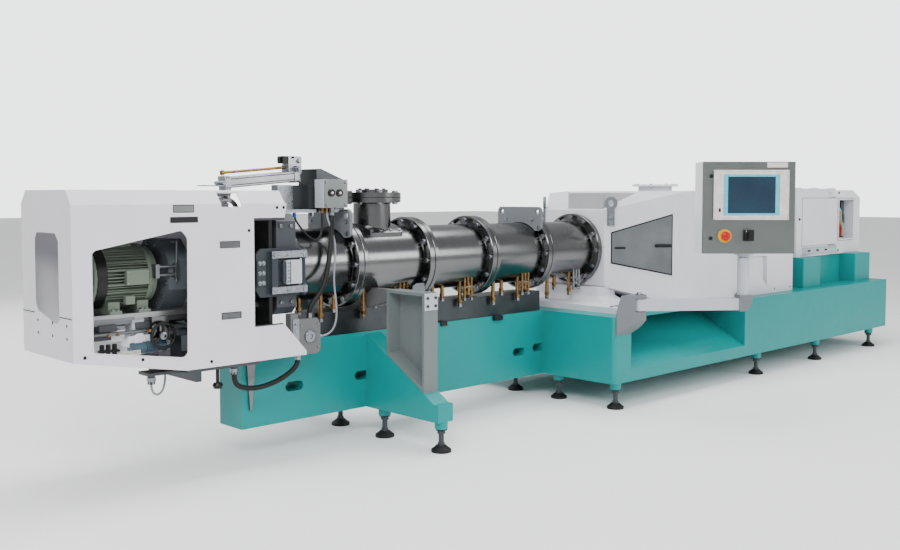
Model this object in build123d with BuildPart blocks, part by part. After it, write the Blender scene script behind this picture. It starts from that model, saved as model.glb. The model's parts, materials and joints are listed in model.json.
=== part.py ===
"""Single screw food extruder: drive base, gearbox, barrel, die face cutter and swing-out control panel."""
import os
from math import cos, hypot, pi, radians, sin, tan

from build123d import *

os.makedirs("parts", exist_ok=True)

# Driving dimensions
AXIS_Z = 1000               # height of the barrel axis above the floor
AXIS_Y = 378                # the barrel axis in depth; the panel swings out towards -Y
BASE_X = -452               # left end of the drive base
BASE_L = 4244
BASE_W = 1424
BASE_BOTTOM = 166
DECK_Z = 601                # top of the drive base and of the beam
BEAM_L = 2387
BEAM_W = 214
TUBE_R = 200
FLANGE_R = 254
FLANGE_T = 40
SECTION_L = 537
SECTION_COUNT = 5
GEAR_FACE = 469             # gearbox face behind the base's left end
OUTRIGGER_X = -1501
CASE_HALF_W = 598
CASE_TOP = 1418
NOSE_HALF_W = 280
NOSE_BOTTOM = 740
NOSE_TOP = 1283
FLARE_START = 480
FLARE_END = 900
CASE_END = 2600
HOOD_LEFT = -3340
HOOD_HALF_W = 280
HOOD_TOP = 1408
HOOD_FOLD = 1342
SHEET = 5
CABINET = 590
CABINET_DEEP = 210
ARM_LENGTH = 694
ARM_ANGLE = -38.1           # from the machine's length, swung out
ARM_Z = 676
ARM_SIZE = 76


def px(machine_x):
    """Position along the row, measured from the base's left end."""
    return BASE_X + machine_x


def py(machine_y):
    """Position in depth, measured from the barrel axis."""
    return AXIS_Y + machine_y


# Drive base: one welded box with a wedge pocket in each long side
POCKET_X = (182, 1636)
POCKET_LIP = 248
POCKET_BACK = 120
DECK_PLATE = 40
with BuildPart() as drive_base:
    with BuildSketch(Plane.XY.offset(BASE_BOTTOM)):
        with Locations((px(BASE_L / 2), py(0))):
            RectangleRounded(BASE_L, BASE_W, 28)
    extrude(amount=DECK_Z - BASE_BOTTOM)
    for side in (-1, 1):
        with BuildSketch(Plane.YZ.offset(px(POCKET_X[0]))):
            with BuildLine():
                Polyline(
                    (py(side * (BASE_W / 2 + 1)), POCKET_LIP),
                    (py(side * (BASE_W / 2 + 1)), DECK_Z + 1),
                    (py(side * CASE_HALF_W), DECK_Z + 1),
                    (py(side * CASE_HALF_W), DECK_Z - DECK_PLATE),
                    (py(side * (POCKET_BACK + 67)), DECK_Z - DECK_PLATE),
                    close=True,
                )
            make_face()
        extrude(amount=POCKET_X[1] - POCKET_X[0], mode=Mode.SUBTRACT)
drive_base.part.label = "drive_base"
export_step(drive_base.part, "parts/drive_base.step")

# Barrel beam: narrow box under the barrel with oblong slots through it
BEAM_SLOT = (116, 52)
with BuildPart() as barrel_beam:
    with BuildSketch(Plane.XY.offset(BASE_BOTTOM)):
        with Locations((px(-BEAM_L / 2), py(0))):
            Rectangle(BEAM_L, BEAM_W)
    extrude(amount=DECK_Z - BASE_BOTTOM)
    with BuildSketch(Plane.XZ.offset(-py(BEAM_W))):
        for slot_x, slot_z in ((-2056, 353), (-1580, 353), (-242, 340), (-45, 350)):
            with Locations((px(slot_x), slot_z)):
                SlotOverall(*BEAM_SLOT)
    extrude(amount=2 * BEAM_W, mode=Mode.SUBTRACT)
barrel_beam.part.label = "barrel_beam"
export_step(barrel_beam.part, "parts/barrel_beam.step")

# Stainless trough between beam and barrel
SKIRT_TOP = 735
with BuildPart() as beam_trough:
    with BuildSketch(Plane.XY.offset(DECK_Z)):
        with Locations((px(-965), py(0))):
            Rectangle(1890, 190)
    extrude(amount=SKIRT_TOP - DECK_Z)
beam_trough.part.label = "beam_trough"
export_step(beam_trough.part, "parts/beam_trough.step")

# Outriggers with a sloping top, one on each side of the beam
OUT_W = 110
OUT_TIP = 262
SLOPE_TOP = 591
SLOPE_END = 679


def slope_z(reach):
    """Height of the outrigger's top at a distance from the barrel axis."""
    share = (reach - BEAM_W / 2) / (SLOPE_END - BEAM_W / 2)
    return SLOPE_TOP + share * (OUT_TIP - SLOPE_TOP)


with BuildPart() as outriggers:
    for side in (-1, 1):
        with BuildSketch(Plane.YZ.offset(px(OUTRIGGER_X - OUT_W / 2))):
            with BuildLine():
                Polyline(
                    (py(side * BEAM_W / 2), BASE_BOTTOM),
                    (py(side * BEAM_W / 2), SLOPE_TOP),
                    (py(side * SLOPE_END), OUT_TIP),
                    (py(side * BASE_W / 2), OUT_TIP),
                    (py(side * BASE_W / 2), BASE_BOTTOM),
                    close=True,
                )
            make_face()
        extrude(amount=OUT_W)
outriggers.part.label = "outriggers"
export_step(outriggers.part, "parts/outriggers.step")

# Support frames that stand on the outriggers and steady the barrel
FRAME_IN = 285
FRAME_OUT = 597
FRAME_TOP = 855
FRAME_T = 100
FRAME_X = OUTRIGGER_X - FRAME_T / 2
FRAME_POCKET = 88
FRAME_RIM = 16
with BuildPart() as support_frames:
    for side in (-1, 1):
        with BuildSketch(Plane.YZ.offset(px(FRAME_X))):
            with BuildLine():
                Polyline(
                    (py(side * FRAME_IN), slope_z(FRAME_IN)),
                    (py(side * FRAME_IN), FRAME_TOP),
                    (py(side * FRAME_OUT), FRAME_TOP),
                    (py(side * FRAME_OUT), slope_z(FRAME_OUT)),
                    close=True,
                )
            make_face()
        extrude(amount=FRAME_T)
        with BuildSketch(Plane.YZ.offset(px(FRAME_X))):
            with BuildLine():
                Polyline(
                    (py(side * (FRAME_IN + FRAME_RIM)), slope_z(FRAME_IN) + FRAME_RIM),
                    (py(side * (FRAME_IN + FRAME_RIM)), FRAME_TOP - FRAME_RIM),
                    (py(side * (FRAME_OUT - FRAME_RIM)), FRAME_TOP - FRAME_RIM),
                    (py(side * (FRAME_OUT - FRAME_RIM)), slope_z(FRAME_OUT) + 2 * FRAME_RIM),
                    close=True,
                )
            make_face()
        extrude(amount=FRAME_POCKET, mode=Mode.SUBTRACT)
support_frames.part.label = "support_frames"
export_step(support_frames.part, "parts/support_frames.step")

# Curved saddle that carries the barrel between the support frames
SADDLE_T = 44
SADDLE_X = OUTRIGGER_X - 35
with BuildPart() as barrel_saddle:
    with BuildSketch(Plane.YZ.offset(px(SADDLE_X))):
        with BuildLine():
            Polyline(
                (py(-FRAME_IN), FRAME_TOP), (py(-FRAME_IN), FRAME_TOP - 60), (py(-95), SKIRT_TOP),
                (py(95), SKIRT_TOP), (py(FRAME_IN), FRAME_TOP - 60), (py(FRAME_IN), FRAME_TOP),
                close=True,
            )
        make_face()
        with Locations((py(0), AXIS_Z)):
            Circle(TUBE_R, mode=Mode.SUBTRACT)
    extrude(amount=SADDLE_T)
barrel_saddle.part.label = "barrel_saddle"
export_step(barrel_saddle.part, "parts/barrel_saddle.step")

# Levelling feet: domed pad, threaded rod and hexagonal collar
FOOT_PAD_R = 55
FOOT_X = (65, 1879, 2868, 3933)
with BuildPart() as levelling_feet:
    places = [(px(x), py(side * 675)) for x in FOOT_X for side in (-1, 1)]
    places += [(px(65), py(side * 200)) for side in (-1, 1)]
    places += [(px(OUTRIGGER_X), py(y)) for y in (-678, -207, 207, 678)]
    for radius, sides, low, high, slope in (
        (FOOT_PAD_R, 16, 0, 14, 0),
        (FOOT_PAD_R - 3, 16, 14, 34, 50),
        (14, 8, 34, 118, 0),
        (34, 6, 118, BASE_BOTTOM, 0),
    ):
        with BuildSketch(Plane.XY.offset(low)):
            with Locations(*places):
                RegularPolygon(radius, sides)
        extrude(amount=high - low, taper=slope)
levelling_feet.part.label = "levelling_feet"
export_step(levelling_feet.part, "parts/levelling_feet.step")

# Barrel sections: a tube between two bolted flanges, the last one cut short by the die block
FLANGE_SIDES = 36
DIE_RIGHT = -2130
for number in range(1, SECTION_COUNT + 1):
    right = GEAR_FACE - (number - 1) * SECTION_L
    left = max(right - SECTION_L, DIE_RIGHT)
    with BuildPart() as section:
        with BuildSketch(Plane.YZ.offset(px(left))):
            with Locations((AXIS_Y, AXIS_Z)):
                Circle(TUBE_R)
        extrude(amount=right - left)
        with BuildSketch(Plane.YZ.offset(px(left)), Plane.YZ.offset(px(right - FLANGE_T))):
            with Locations((AXIS_Y, AXIS_Z)):
                RegularPolygon(FLANGE_R, FLANGE_SIDES)
        extrude(amount=FLANGE_T)
    name = f"barrel_section_{number}"
    section.part.label = name
    export_step(section.part, f"parts/{name}.step")

# Die block at the outlet, with the round die in front of it
DIE_LEFT = -2250
DIE_FACE = -2286
DIE_LOW = 765
DIE_HIGH = 1290
DIE_HALF_W = 235
with BuildPart() as die_block:
    with BuildSketch(Plane.YZ.offset(px(DIE_LEFT))):
        with Locations((AXIS_Y, (DIE_LOW + DIE_HIGH) / 2)):
            Rectangle(2 * DIE_HALF_W, DIE_HIGH - DIE_LOW)
        chamfer(vertices(), 40)
    extrude(amount=DIE_RIGHT - DIE_LEFT)
    with BuildSketch(Plane.YZ.offset(px(DIE_FACE))):
        with Locations((AXIS_Y, AXIS_Z)):
            Circle(185)
    extrude(amount=DIE_LEFT - DIE_FACE)
die_block.part.label = "die_block"
export_step(die_block.part, "parts/die_block.step")

# Feed port on the fourth section: a curved saddle, a pipe and a DN200 flange
FEED_X = -1420
FEED_PIPE_R = 109.5
FEED_WALL = 8
FEED_FLANGE_R = 170
FEED_FLANGE_T = 29
FEED_TOP = 1372
FEED_BOLT_R = 147.5
FEED_BOLT_COUNT = 8
FEED_BOLT_TURN = 22.5
FEED_HOLE_R = 11
SADDLE_PLATE = 20
with BuildPart() as feed_port:
    with BuildSketch(Plane.XY.offset(AXIS_Z)):
        with Locations((px(FEED_X), AXIS_Y)):
            RectangleRounded(250, 280, 20)
    extrude(amount=TUBE_R + SADDLE_PLATE)
    with BuildSketch(Plane.YZ.offset(px(FEED_X - FLANGE_R))):
        with Locations((AXIS_Y, AXIS_Z)):
            Circle(TUBE_R + SADDLE_PLATE)
    extrude(amount=2 * FLANGE_R, mode=Mode.INTERSECT)
    with BuildSketch(Plane.XY.offset(AXIS_Z + TUBE_R / 2)):
        with Locations((px(FEED_X), AXIS_Y)):
            Circle(FEED_PIPE_R)
    extrude(amount=FEED_TOP - AXIS_Z - TUBE_R / 2)
    with BuildSketch(Plane.XY.offset(FEED_TOP - FEED_FLANGE_T)):
        with Locations((px(FEED_X), AXIS_Y)):
            Circle(FEED_FLANGE_R)
            with PolarLocations(FEED_BOLT_R, FEED_BOLT_COUNT, FEED_BOLT_TURN):
                Circle(FEED_HOLE_R, mode=Mode.SUBTRACT)
    extrude(amount=FEED_FLANGE_T)
    with BuildSketch(Plane.XY.offset(AXIS_Z)):
        with Locations((px(FEED_X), AXIS_Y)):
            Circle(FEED_PIPE_R - FEED_WALL)
    extrude(amount=FEED_TOP - AXIS_Z, mode=Mode.SUBTRACT)
    with BuildSketch(Plane.YZ.offset(px(FEED_X - FLANGE_R))):
        with Locations((AXIS_Y, AXIS_Z)):
            Circle(TUBE_R)
    extrude(amount=2 * FLANGE_R, mode=Mode.SUBTRACT)
feed_port.part.label = "feed_port"
export_step(feed_port.part, "parts/feed_port.step")

with BuildPart() as feed_cover:
    with BuildSketch(Plane.XY.offset(FEED_TOP)):
        with Locations((px(FEED_X), AXIS_Y)):
            Circle(FEED_FLANGE_R)
            with PolarLocations(FEED_BOLT_R, FEED_BOLT_COUNT, FEED_BOLT_TURN):
                Circle(FEED_HOLE_R, mode=Mode.SUBTRACT)
    extrude(amount=FEED_FLANGE_T)
    with BuildSketch(Plane.XY.offset(FEED_TOP + FEED_FLANGE_T)):
        with Locations((px(FEED_X), AXIS_Y)):
            Circle(95)
    extrude(amount=18)
feed_cover.part.label = "feed_cover"
export_step(feed_cover.part, "parts/feed_cover.step")

# Media pipes under the barrel, four to a section
PIPE_STEPS = ((95, -120, 690), (205, -90, 742), (330, -120, 700), (440, -90, 742))
with BuildPart() as media_pipes:
    for number in range(SECTION_COUNT):
        start = GEAR_FACE - (number + 1) * SECTION_L
        for step, depth, low in PIPE_STEPS[1 if number == SECTION_COUNT - 1 else 0:]:
            with BuildSketch(Plane.XY.offset(low)):
                with Locations((px(start + step), py(depth))):
                    RegularPolygon(12, 8)
            extrude(amount=AXIS_Z - low)
    with BuildSketch(Plane.YZ.offset(px(DIE_RIGHT - 100))):
        with Locations((AXIS_Y, AXIS_Z)):
            Circle(TUBE_R)
    extrude(amount=SECTION_COUNT * SECTION_L + 200, mode=Mode.SUBTRACT)
media_pipes.part.label = "media_pipes"
export_step(media_pipes.part, "parts/media_pipes.step")

# Lifting plates on the flange pairs behind the first and the fourth section
LIFT_T = 20
LIFT_Z = 1228
LIFT_H = 160
SHELF_FLANGE = GEAR_FACE - (SECTION_COUNT - 1) * SECTION_L - FLANGE_T
with BuildPart() as lifting_plate:
    for flange_left in (GEAR_FACE - SECTION_L - FLANGE_T, SHELF_FLANGE):
        with BuildSketch(Plane.YZ.offset(px(flange_left - LIFT_T))):
            with Locations((AXIS_Y, LIFT_Z)):
                RectangleRounded(390, LIFT_H, 32)
            with Locations((AXIS_Y - 160, LIFT_Z + 45), (AXIS_Y + 160, LIFT_Z + 45)):
                Circle(18, mode=Mode.SUBTRACT)
            with Locations((AXIS_Y, AXIS_Z)):
                Circle(TUBE_R + 4, mode=Mode.SUBTRACT)
        extrude(amount=LIFT_T)
lifting_plate.part.label = "lifting_plate"
export_step(lifting_plate.part, "parts/lifting_plate.step")

# Gearbox: nose block, flared casting and main case, with a gusset recess in each side
GUSSET_DEPTH = 30
FLARE_X = FLARE_END - FLARE_START
FLARE_Y = CASE_HALF_W - NOSE_HALF_W
FLARE_RUN = hypot(FLARE_X, FLARE_Y)


def case_outline(machine_x, half_w, low, high):
    """One upright rectangle across the gearbox."""
    with BuildSketch(Plane.YZ.offset(px(machine_x))) as outline:
        with Locations((AXIS_Y, (low + high) / 2)):
            Rectangle(2 * half_w, high - low)
    return outline.sketch


with BuildPart() as gearbox_case:
    add(loft([
        case_outline(GEAR_FACE, NOSE_HALF_W - 9, NOSE_BOTTOM + 6, NOSE_TOP - 3),
        case_outline(FLARE_START, NOSE_HALF_W, NOSE_BOTTOM, NOSE_TOP),
    ], ruled=True))
    add(loft([
        case_outline(FLARE_START, NOSE_HALF_W, NOSE_BOTTOM, NOSE_TOP),
        case_outline(FLARE_END, CASE_HALF_W, DECK_Z + 4, 1403),
        case_outline(1100, CASE_HALF_W, DECK_Z, CASE_TOP),
        case_outline(CASE_END, CASE_HALF_W, DECK_Z, CASE_TOP),
    ], ruled=True))
    for side in (-1, 1):
        with BuildSketch(Plane.XZ.offset(-py(side * CASE_HALF_W))):
            with BuildLine():
                Polyline(
                    (px(1868), 914), (px(2167), 902), (px(2175), 660), (px(1931), 864), close=True,
                )
            make_face()
        extrude(amount=side * GUSSET_DEPTH, mode=Mode.SUBTRACT)
gearbox_case.part.label = "gearbox_case"
export_step(gearbox_case.part, "parts/gearbox_case.step")

# Cast pedestal under the nose of the gearbox
with BuildPart() as gearbox_pedestal:
    with BuildSketch(Plane.XY.offset(DECK_Z)):
        with Locations((px(420), AXIS_Y)):
            RectangleRounded(520, 1200, 20)
    extrude(amount=40)
    with BuildSketch(Plane.XY.offset(DECK_Z + 40)):
        with Locations((px(480), AXIS_Y)):
            Rectangle(240, 700)
    with BuildSketch(Plane.XY.offset(NOSE_BOTTOM - 60)):
        with Locations((px(480), AXIS_Y)):
            Rectangle(200, 560)
    loft(ruled=True)
    with BuildSketch(Plane.XY.offset(NOSE_BOTTOM - 60)):
        with Locations((px(480), AXIS_Y)):
            Rectangle(200, 560)
    extrude(amount=60)
    add(gearbox_case.part, mode=Mode.SUBTRACT)
gearbox_pedestal.part.label = "gearbox_pedestal"
export_step(gearbox_pedestal.part, "parts/gearbox_pedestal.step")

TOP_BOX = (500, 893, 1402)      # left end, right end and top
TOP_BOX_Y = (-224, 82)
with BuildPart() as gearbox_top_box:
    left, right, top = TOP_BOX
    with BuildSketch(Plane.XZ.offset(-py(TOP_BOX_Y[0]))):
        with BuildLine():
            Polyline(
                (px(left), NOSE_TOP + (left - FLARE_START) * 120 / FLARE_X),
                (px(left), top),
                (px(right), top),
                close=True,
            )
        make_face()
    extrude(amount=TOP_BOX_Y[0] - TOP_BOX_Y[1])
gearbox_top_box.part.label = "gearbox_top_box"
export_step(gearbox_top_box.part, "parts/gearbox_top_box.step")

with BuildPart() as vent_flange:
    for radius, low, high in ((130, CASE_TOP, 1456), (178, 1456, 1470)):
        with BuildSketch(Plane.XY.offset(low)):
            with Locations((px(1478), AXIS_Y)):
                RegularPolygon(radius, 32)
        extrude(amount=high - low)
vent_flange.part.label = "vent_flange"
export_step(vent_flange.part, "parts/vent_flange.step")

# Access panels and lifting lugs on the flared sides
def flare_plane(side):
    """Plane on the flared side: X runs along the slope to the right, Y is up."""
    along = (FLARE_X / FLARE_RUN, side * FLARE_Y / FLARE_RUN, 0)
    outward = (-FLARE_Y / FLARE_RUN, side * FLARE_X / FLARE_RUN, 0)
    return Plane(origin=(px(FLARE_START), py(side * NOSE_HALF_W), 0), x_dir=along, z_dir=outward)


with BuildPart() as access_panels:
    for side in (-1, 1):
        with BuildSketch(flare_plane(side)):
            with BuildLine():
                Polyline(
                    (39, -side * 914), (39, -side * 1119), (472, -side * 1243), (472, -side * 827),
                    close=True,
                )
            make_face()
        extrude(amount=8)
access_panels.part.label = "access_panels"
export_step(access_panels.part, "parts/access_panels.step")

LUG_STEP = 27                   # from the flare's front edge
LUG_Z = 1330
LUG_R = 46
LUG_HOLE_R = 22
LUG_T = 20
with BuildPart() as lifting_lugs:
    for side in (-1, 1):
        with BuildSketch(flare_plane(side)):
            with Locations((LUG_STEP, -side * (LUG_Z - 82))):
                Rectangle(50, 150)
            with Locations((LUG_STEP, -side * LUG_Z)):
                Circle(LUG_R)
                Circle(LUG_HOLE_R, mode=Mode.SUBTRACT)
        extrude(amount=LUG_T)
lifting_lugs.part.label = "lifting_lugs"
export_step(lifting_lugs.part, "parts/lifting_lugs.step")

# Drive motor on two pedestals
PED_TOP = 855
with BuildPart() as motor_pedestals:
    with BuildSketch(Plane.XY.offset(DECK_Z)):
        with Locations((px(2955), AXIS_Y), (px(3960), AXIS_Y)):
            RectangleRounded(310, 2 * CASE_HALF_W, 12)
        with Locations((px(3457), AXIS_Y)):
            Rectangle(900, 2 * CASE_HALF_W - 300)
    extrude(amount=PED_TOP - DECK_Z)
motor_pedestals.part.label = "motor_pedestals"
export_step(motor_pedestals.part, "parts/motor_pedestals.step")

MOTOR_WINDOW = (3700, 4000, 990, 1345)
with BuildPart() as motor_housing:
    with BuildSketch(Plane.XY.offset(PED_TOP)):
        with Locations((px(3175), AXIS_Y)):
            RectangleRounded(590, 980, 10)
    extrude(amount=590)
    with BuildSketch(Plane.YZ.offset(px(3470))):
        with BuildLine():
            Polyline(
                (py(-475), PED_TOP), (py(-475), 1365), (py(-405), 1435), (py(405), 1435),
                (py(475), 1365), (py(475), PED_TOP), close=True,
            )
        make_face()
    extrude(amount=680)
    with BuildSketch(Plane.XZ.offset(-py(-475))):
        left, right, low, high = MOTOR_WINDOW
        with Locations((px((left + right) / 2), (low + high) / 2)):
            RectangleRounded(right - left, high - low, 15)
    extrude(amount=-90, mode=Mode.SUBTRACT)
motor_housing.part.label = "motor_housing"
export_step(motor_housing.part, "parts/motor_housing.step")

# Guard hood round the cutter; a notch over its fold gives the hand access to the catch
HOOD_LOW = 549                  # lower edge where the hood meets the tray
HOOD_KINK = -2790
HOOD_RIM = 645                  # lower edge at the left end
WINDOW_R = 18
NOTCH = (-2597, -2481, 1327, 1402)
with BuildPart() as hood_notch:
    with BuildSketch(Plane.XZ.offset(-py(-230))):
        with Locations((px((NOTCH[0] + NOTCH[1]) / 2), (NOTCH[2] + NOTCH[3]) / 2)):
            Rectangle(NOTCH[1] - NOTCH[0], NOTCH[3] - NOTCH[2])
    extrude(amount=60)

with BuildPart() as guard_front:
    with BuildSketch(Plane.XZ.offset(-py(-HOOD_HALF_W))):
        with BuildLine():
            Polyline(
                (px(-3335), HOOD_RIM), (px(HOOD_KINK), HOOD_LOW), (px(-2098), HOOD_LOW), (px(-2098), 571),
                (px(-2234), 722), (px(-2412), 722), (px(-2412), 1270), (px(-2228), 1270),
                (px(-2215), HOOD_FOLD), (px(-3335), HOOD_FOLD), close=True,
            )
        make_face()
        with BuildSketch(mode=Mode.SUBTRACT):
            with BuildLine():
                Polyline(
                    (px(-3251), 1138), (px(-2811), 1220), (px(-2778), 1181),
                    (px(-2784), 608), (px(-3247), 679), close=True,
                )
            make_face()
            corners = vertices().sort_by(Axis.Y)
            fillet(corners[1:], WINDOW_R)
            fillet(vertices().sort_by(Axis.Y)[0], 2 * WINDOW_R)
    extrude(amount=-SHEET)
    add(hood_notch.part, mode=Mode.SUBTRACT)
guard_front.part.label = "guard_front"
export_step(guard_front.part, "parts/guard_front.step")

with BuildPart() as guard_rear:
    with BuildSketch(Plane.XZ.offset(-py(HOOD_HALF_W - SHEET))):
        with BuildLine():
            Polyline(
                (px(-3335), HOOD_RIM), (px(HOOD_KINK), HOOD_LOW), (px(-2234), HOOD_LOW),
                (px(-2215), HOOD_FOLD), (px(-3335), HOOD_FOLD), close=True,
            )
        make_face()
    extrude(amount=-SHEET)
guard_rear.part.label = "guard_rear"
export_step(guard_rear.part, "parts/guard_rear.step")

with BuildPart() as guard_end:
    with BuildSketch(Plane.YZ.offset(px(HOOD_LEFT))):
        with BuildLine():
            Polyline(
                (py(-HOOD_HALF_W), HOOD_RIM), (py(-HOOD_HALF_W), HOOD_FOLD), (py(-225), HOOD_TOP),
                (py(225), HOOD_TOP), (py(HOOD_HALF_W), HOOD_FOLD), (py(HOOD_HALF_W), HOOD_RIM),
                close=True,
            )
        make_face()
        with BuildLine():
            Polyline(
                (py(-140), 828), (py(-140), 1180), (py(-105), 1214), (py(105), 1214),
                (py(135), 1180), (py(135), 880), (py(105), 851), (py(-110), 800), close=True,
            )
        make_face(mode=Mode.SUBTRACT)
    extrude(amount=SHEET)
guard_end.part.label = "guard_end"
export_step(guard_end.part, "parts/guard_end.step")

with BuildPart() as guard_roof:
    with BuildSketch(Plane.YZ.offset(px(HOOD_LEFT + SHEET))):
        with BuildLine():
            Polyline(
                (py(-HOOD_HALF_W), HOOD_FOLD), (py(-225), HOOD_TOP), (py(225), HOOD_TOP),
                (py(HOOD_HALF_W), HOOD_FOLD), (py(HOOD_HALF_W - 7), HOOD_FOLD),
                (py(222), HOOD_TOP - SHEET), (py(-222), HOOD_TOP - SHEET),
                (py(-HOOD_HALF_W + 7), HOOD_FOLD), close=True,
            )
        make_face()
    extrude(amount=-2230 - HOOD_LEFT)
    add(hood_notch.part, mode=Mode.SUBTRACT)
guard_roof.part.label = "guard_roof"
export_step(guard_roof.part, "parts/guard_roof.step")

# Floor tray under the guard, with a cross rail, a tongue and two cable glands
TRAY_Z = HOOD_LOW
TRAY_T = 14
RAIL_X = -2730
RAIL_W = 30
RAIL_LOW = 487
TONGUE = (-2965, -180, 100)     # left end, middle in depth and width
GLAND_LOW = 489
with BuildPart() as hood_tray:
    with BuildSketch(Plane.XY.offset(TRAY_Z - TRAY_T)):
        with Locations((px((HOOD_KINK - BEAM_L) / 2), AXIS_Y)):
            Rectangle(-BEAM_L - HOOD_KINK, 2 * HOOD_HALF_W)
        with Locations((px((HOOD_KINK + TONGUE[0]) / 2), py(TONGUE[1]))):
            Rectangle(HOOD_KINK - TONGUE[0], TONGUE[2])
    extrude(amount=TRAY_T)
    with BuildSketch(Plane.XY.offset(RAIL_LOW)):
        with Locations((px(RAIL_X), py(-40))):
            Rectangle(RAIL_W, 2 * HOOD_HALF_W - 80)
    extrude(amount=TRAY_Z - TRAY_T - RAIL_LOW)
    with BuildSketch(Plane.XY.offset(GLAND_LOW)):
        with Locations((px(-2925), py(-180)), (px(-2505), py(-230))):
            RegularPolygon(20, 6)
    extrude(amount=TRAY_Z - TRAY_T - GLAND_LOW)
hood_tray.part.label = "hood_tray"
export_step(hood_tray.part, "parts/hood_tray.step")

# Black back plate of the cutter chamber
CHAMBER_T = 20
CHAMBER_HALF_W = 250
with BuildPart() as chamber_plate:
    with BuildSketch(Plane.YZ.offset(px(DIE_FACE - CHAMBER_T))):
        with Locations((AXIS_Y, 985)):
            Rectangle(2 * CHAMBER_HALF_W, 560)
    extrude(amount=CHAMBER_T)
chamber_plate.part.label = "chamber_plate"
export_step(chamber_plate.part, "parts/chamber_plate.step")

# Swing clamp across the operator's side of the die block
CLAMP_Y = -CHAMBER_HALF_W
CLAMP_PLATE = 12
CLAMP_BAR = 28
with BuildPart() as swing_clamp:
    with BuildSketch(Plane.XZ.offset(-py(CLAMP_Y))):
        with BuildLine():
            Polyline(
                (px(-2390), 900), (px(-2390), 1085), (px(-2365), 1114), (px(-2130), 1114),
                (px(-2130), 866), (px(-2365), 866), close=True,
            )
        make_face()
    extrude(amount=CLAMP_PLATE)
    with BuildSketch(Plane.XZ.offset(-py(CLAMP_Y - CLAMP_PLATE))):
        with Locations((px(-2205), 1081), (px(-2205), 899)):
            Rectangle(216, 35)
        with Locations((px(-2295), 990)):
            Rectangle(36, 216)
        with Locations((px(-2200), 990)):
            Rectangle(92, 108)
    extrude(amount=CLAMP_BAR)
    with BuildSketch(Plane.XY.offset(866)):
        with Locations((px(-2110), py(CLAMP_Y - CLAMP_PLATE - CLAMP_BAR / 2))):
            RegularPolygon(10, 8)
    extrude(amount=248)
    with BuildSketch(Plane.XZ.offset(-py(CLAMP_Y))):
        with Locations((px(-2190), 990)):
            Rectangle(110, 180)
    extrude(amount=CLAMP_Y + DIE_HALF_W)
swing_clamp.part.label = "swing_clamp"
export_step(swing_clamp.part, "parts/swing_clamp.step")

# Cast lock block that hangs below the die block
with BuildPart() as lock_block:
    with BuildSketch(Plane.XZ.offset(-py(-212))):
        with BuildLine():
            Polyline(
                (px(-2165), 546), (px(-2181), 575), (px(-2181), DIE_LOW), (px(-2135), DIE_LOW),
                (px(-2135), 734), (px(-2010), 734), (px(-1991), 700), (px(-1991), 560),
                (px(-2010), 546), close=True,
            )
        make_face()
    extrude(amount=46)
lock_block.part.label = "lock_block"
export_step(lock_block.part, "parts/lock_block.step")

# Shelf over the last section, from the die block to the second lifting plate
SHELF_LEFT = -2240
SHELF_RIGHT = SHELF_FLANGE - LIFT_T
SHELF_Z = DIE_HIGH
SHELF_T = 18
SHELF_TOP = SHELF_Z + SHELF_T
POST_TOP = 1440
with BuildPart() as valve_shelf:
    with BuildSketch(Plane.XY.offset(SHELF_Z)):
        with Locations((px((SHELF_LEFT + SHELF_RIGHT) / 2), py(-30))):
            Rectangle(SHELF_RIGHT - SHELF_LEFT, 200)
    extrude(amount=SHELF_T)
    with BuildSketch(Plane.XY.offset(SHELF_TOP)):
        with Locations((px(-2050), py(0))):
            Rectangle(100, 60)
    extrude(amount=POST_TOP - SHELF_TOP)
valve_shelf.part.label = "valve_shelf"
export_step(valve_shelf.part, "parts/valve_shelf.step")

with BuildPart() as valve_box:
    with BuildSketch(Plane.XZ.offset(-py(-110))):
        with BuildLine():
            Polyline(
                (px(-1955), SHELF_TOP), (px(-1955), POST_TOP), (px(-1900), POST_TOP), (px(-1900), 1527),
                (px(-1870), 1530), (px(-1710), 1470), (px(-1710), SHELF_TOP), close=True,
            )
        make_face()
    extrude(amount=-170)
valve_box.part.label = "valve_box"
export_step(valve_box.part, "parts/valve_box.step")

with BuildPart() as junction_box:
    with BuildSketch(Plane.XY.offset(1316)):
        with Locations((px(-1838), py(-155))):
            RectangleRounded(160, 90, 10)
    extrude(amount=154)
junction_box.part.label = "junction_box"
export_step(junction_box.part, "parts/junction_box.step")

# Air cylinder that works the cutter's guard, sloping up from the roof to the shelf
CYLINDER_TILT = radians(5.13)
CYLINDER_L = 470
CYLINDER_CAP = 34
CYLINDER_ROD_UP = 52
CYLINDER_AXIS = Plane(
    origin=(px(-2423), py(0), 1448),
    x_dir=(0, 1, 0),
    z_dir=(cos(CYLINDER_TILT), 0, sin(CYLINDER_TILT)),
)
with BuildPart() as air_cylinder:
    with BuildSketch(CYLINDER_AXIS):
        RectangleRounded(60, 60, 8)
    extrude(amount=CYLINDER_L)
    with BuildSketch(CYLINDER_AXIS, CYLINDER_AXIS.offset(CYLINDER_L - CYLINDER_CAP)):
        RectangleRounded(70, 70, 6)
    extrude(amount=CYLINDER_CAP)
    with BuildSketch(CYLINDER_AXIS):
        with Locations((0, CYLINDER_ROD_UP)):
            RegularPolygon(6, 8)
    extrude(amount=CYLINDER_L - CYLINDER_CAP)
    with BuildSketch(CYLINDER_AXIS):
        with Locations((0, CYLINDER_ROD_UP)):
            Rectangle(22, 22)
    extrude(amount=16)
    with BuildSketch(Plane.XY.offset(HOOD_TOP)):
        with Locations((px(-2405), py(0))):
            Rectangle(36, 60)
    extrude(amount=20)
    with BuildSketch(Plane.XY.offset(1500)):
        with Locations((px(-1985), py(0))):
            Rectangle(84, 60)
    extrude(amount=97)
    add(valve_shelf.part, mode=Mode.SUBTRACT)
    add(valve_box.part, mode=Mode.SUBTRACT)
air_cylinder.part.label = "air_cylinder"
export_step(air_cylinder.part, "parts/air_cylinder.step")

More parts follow.
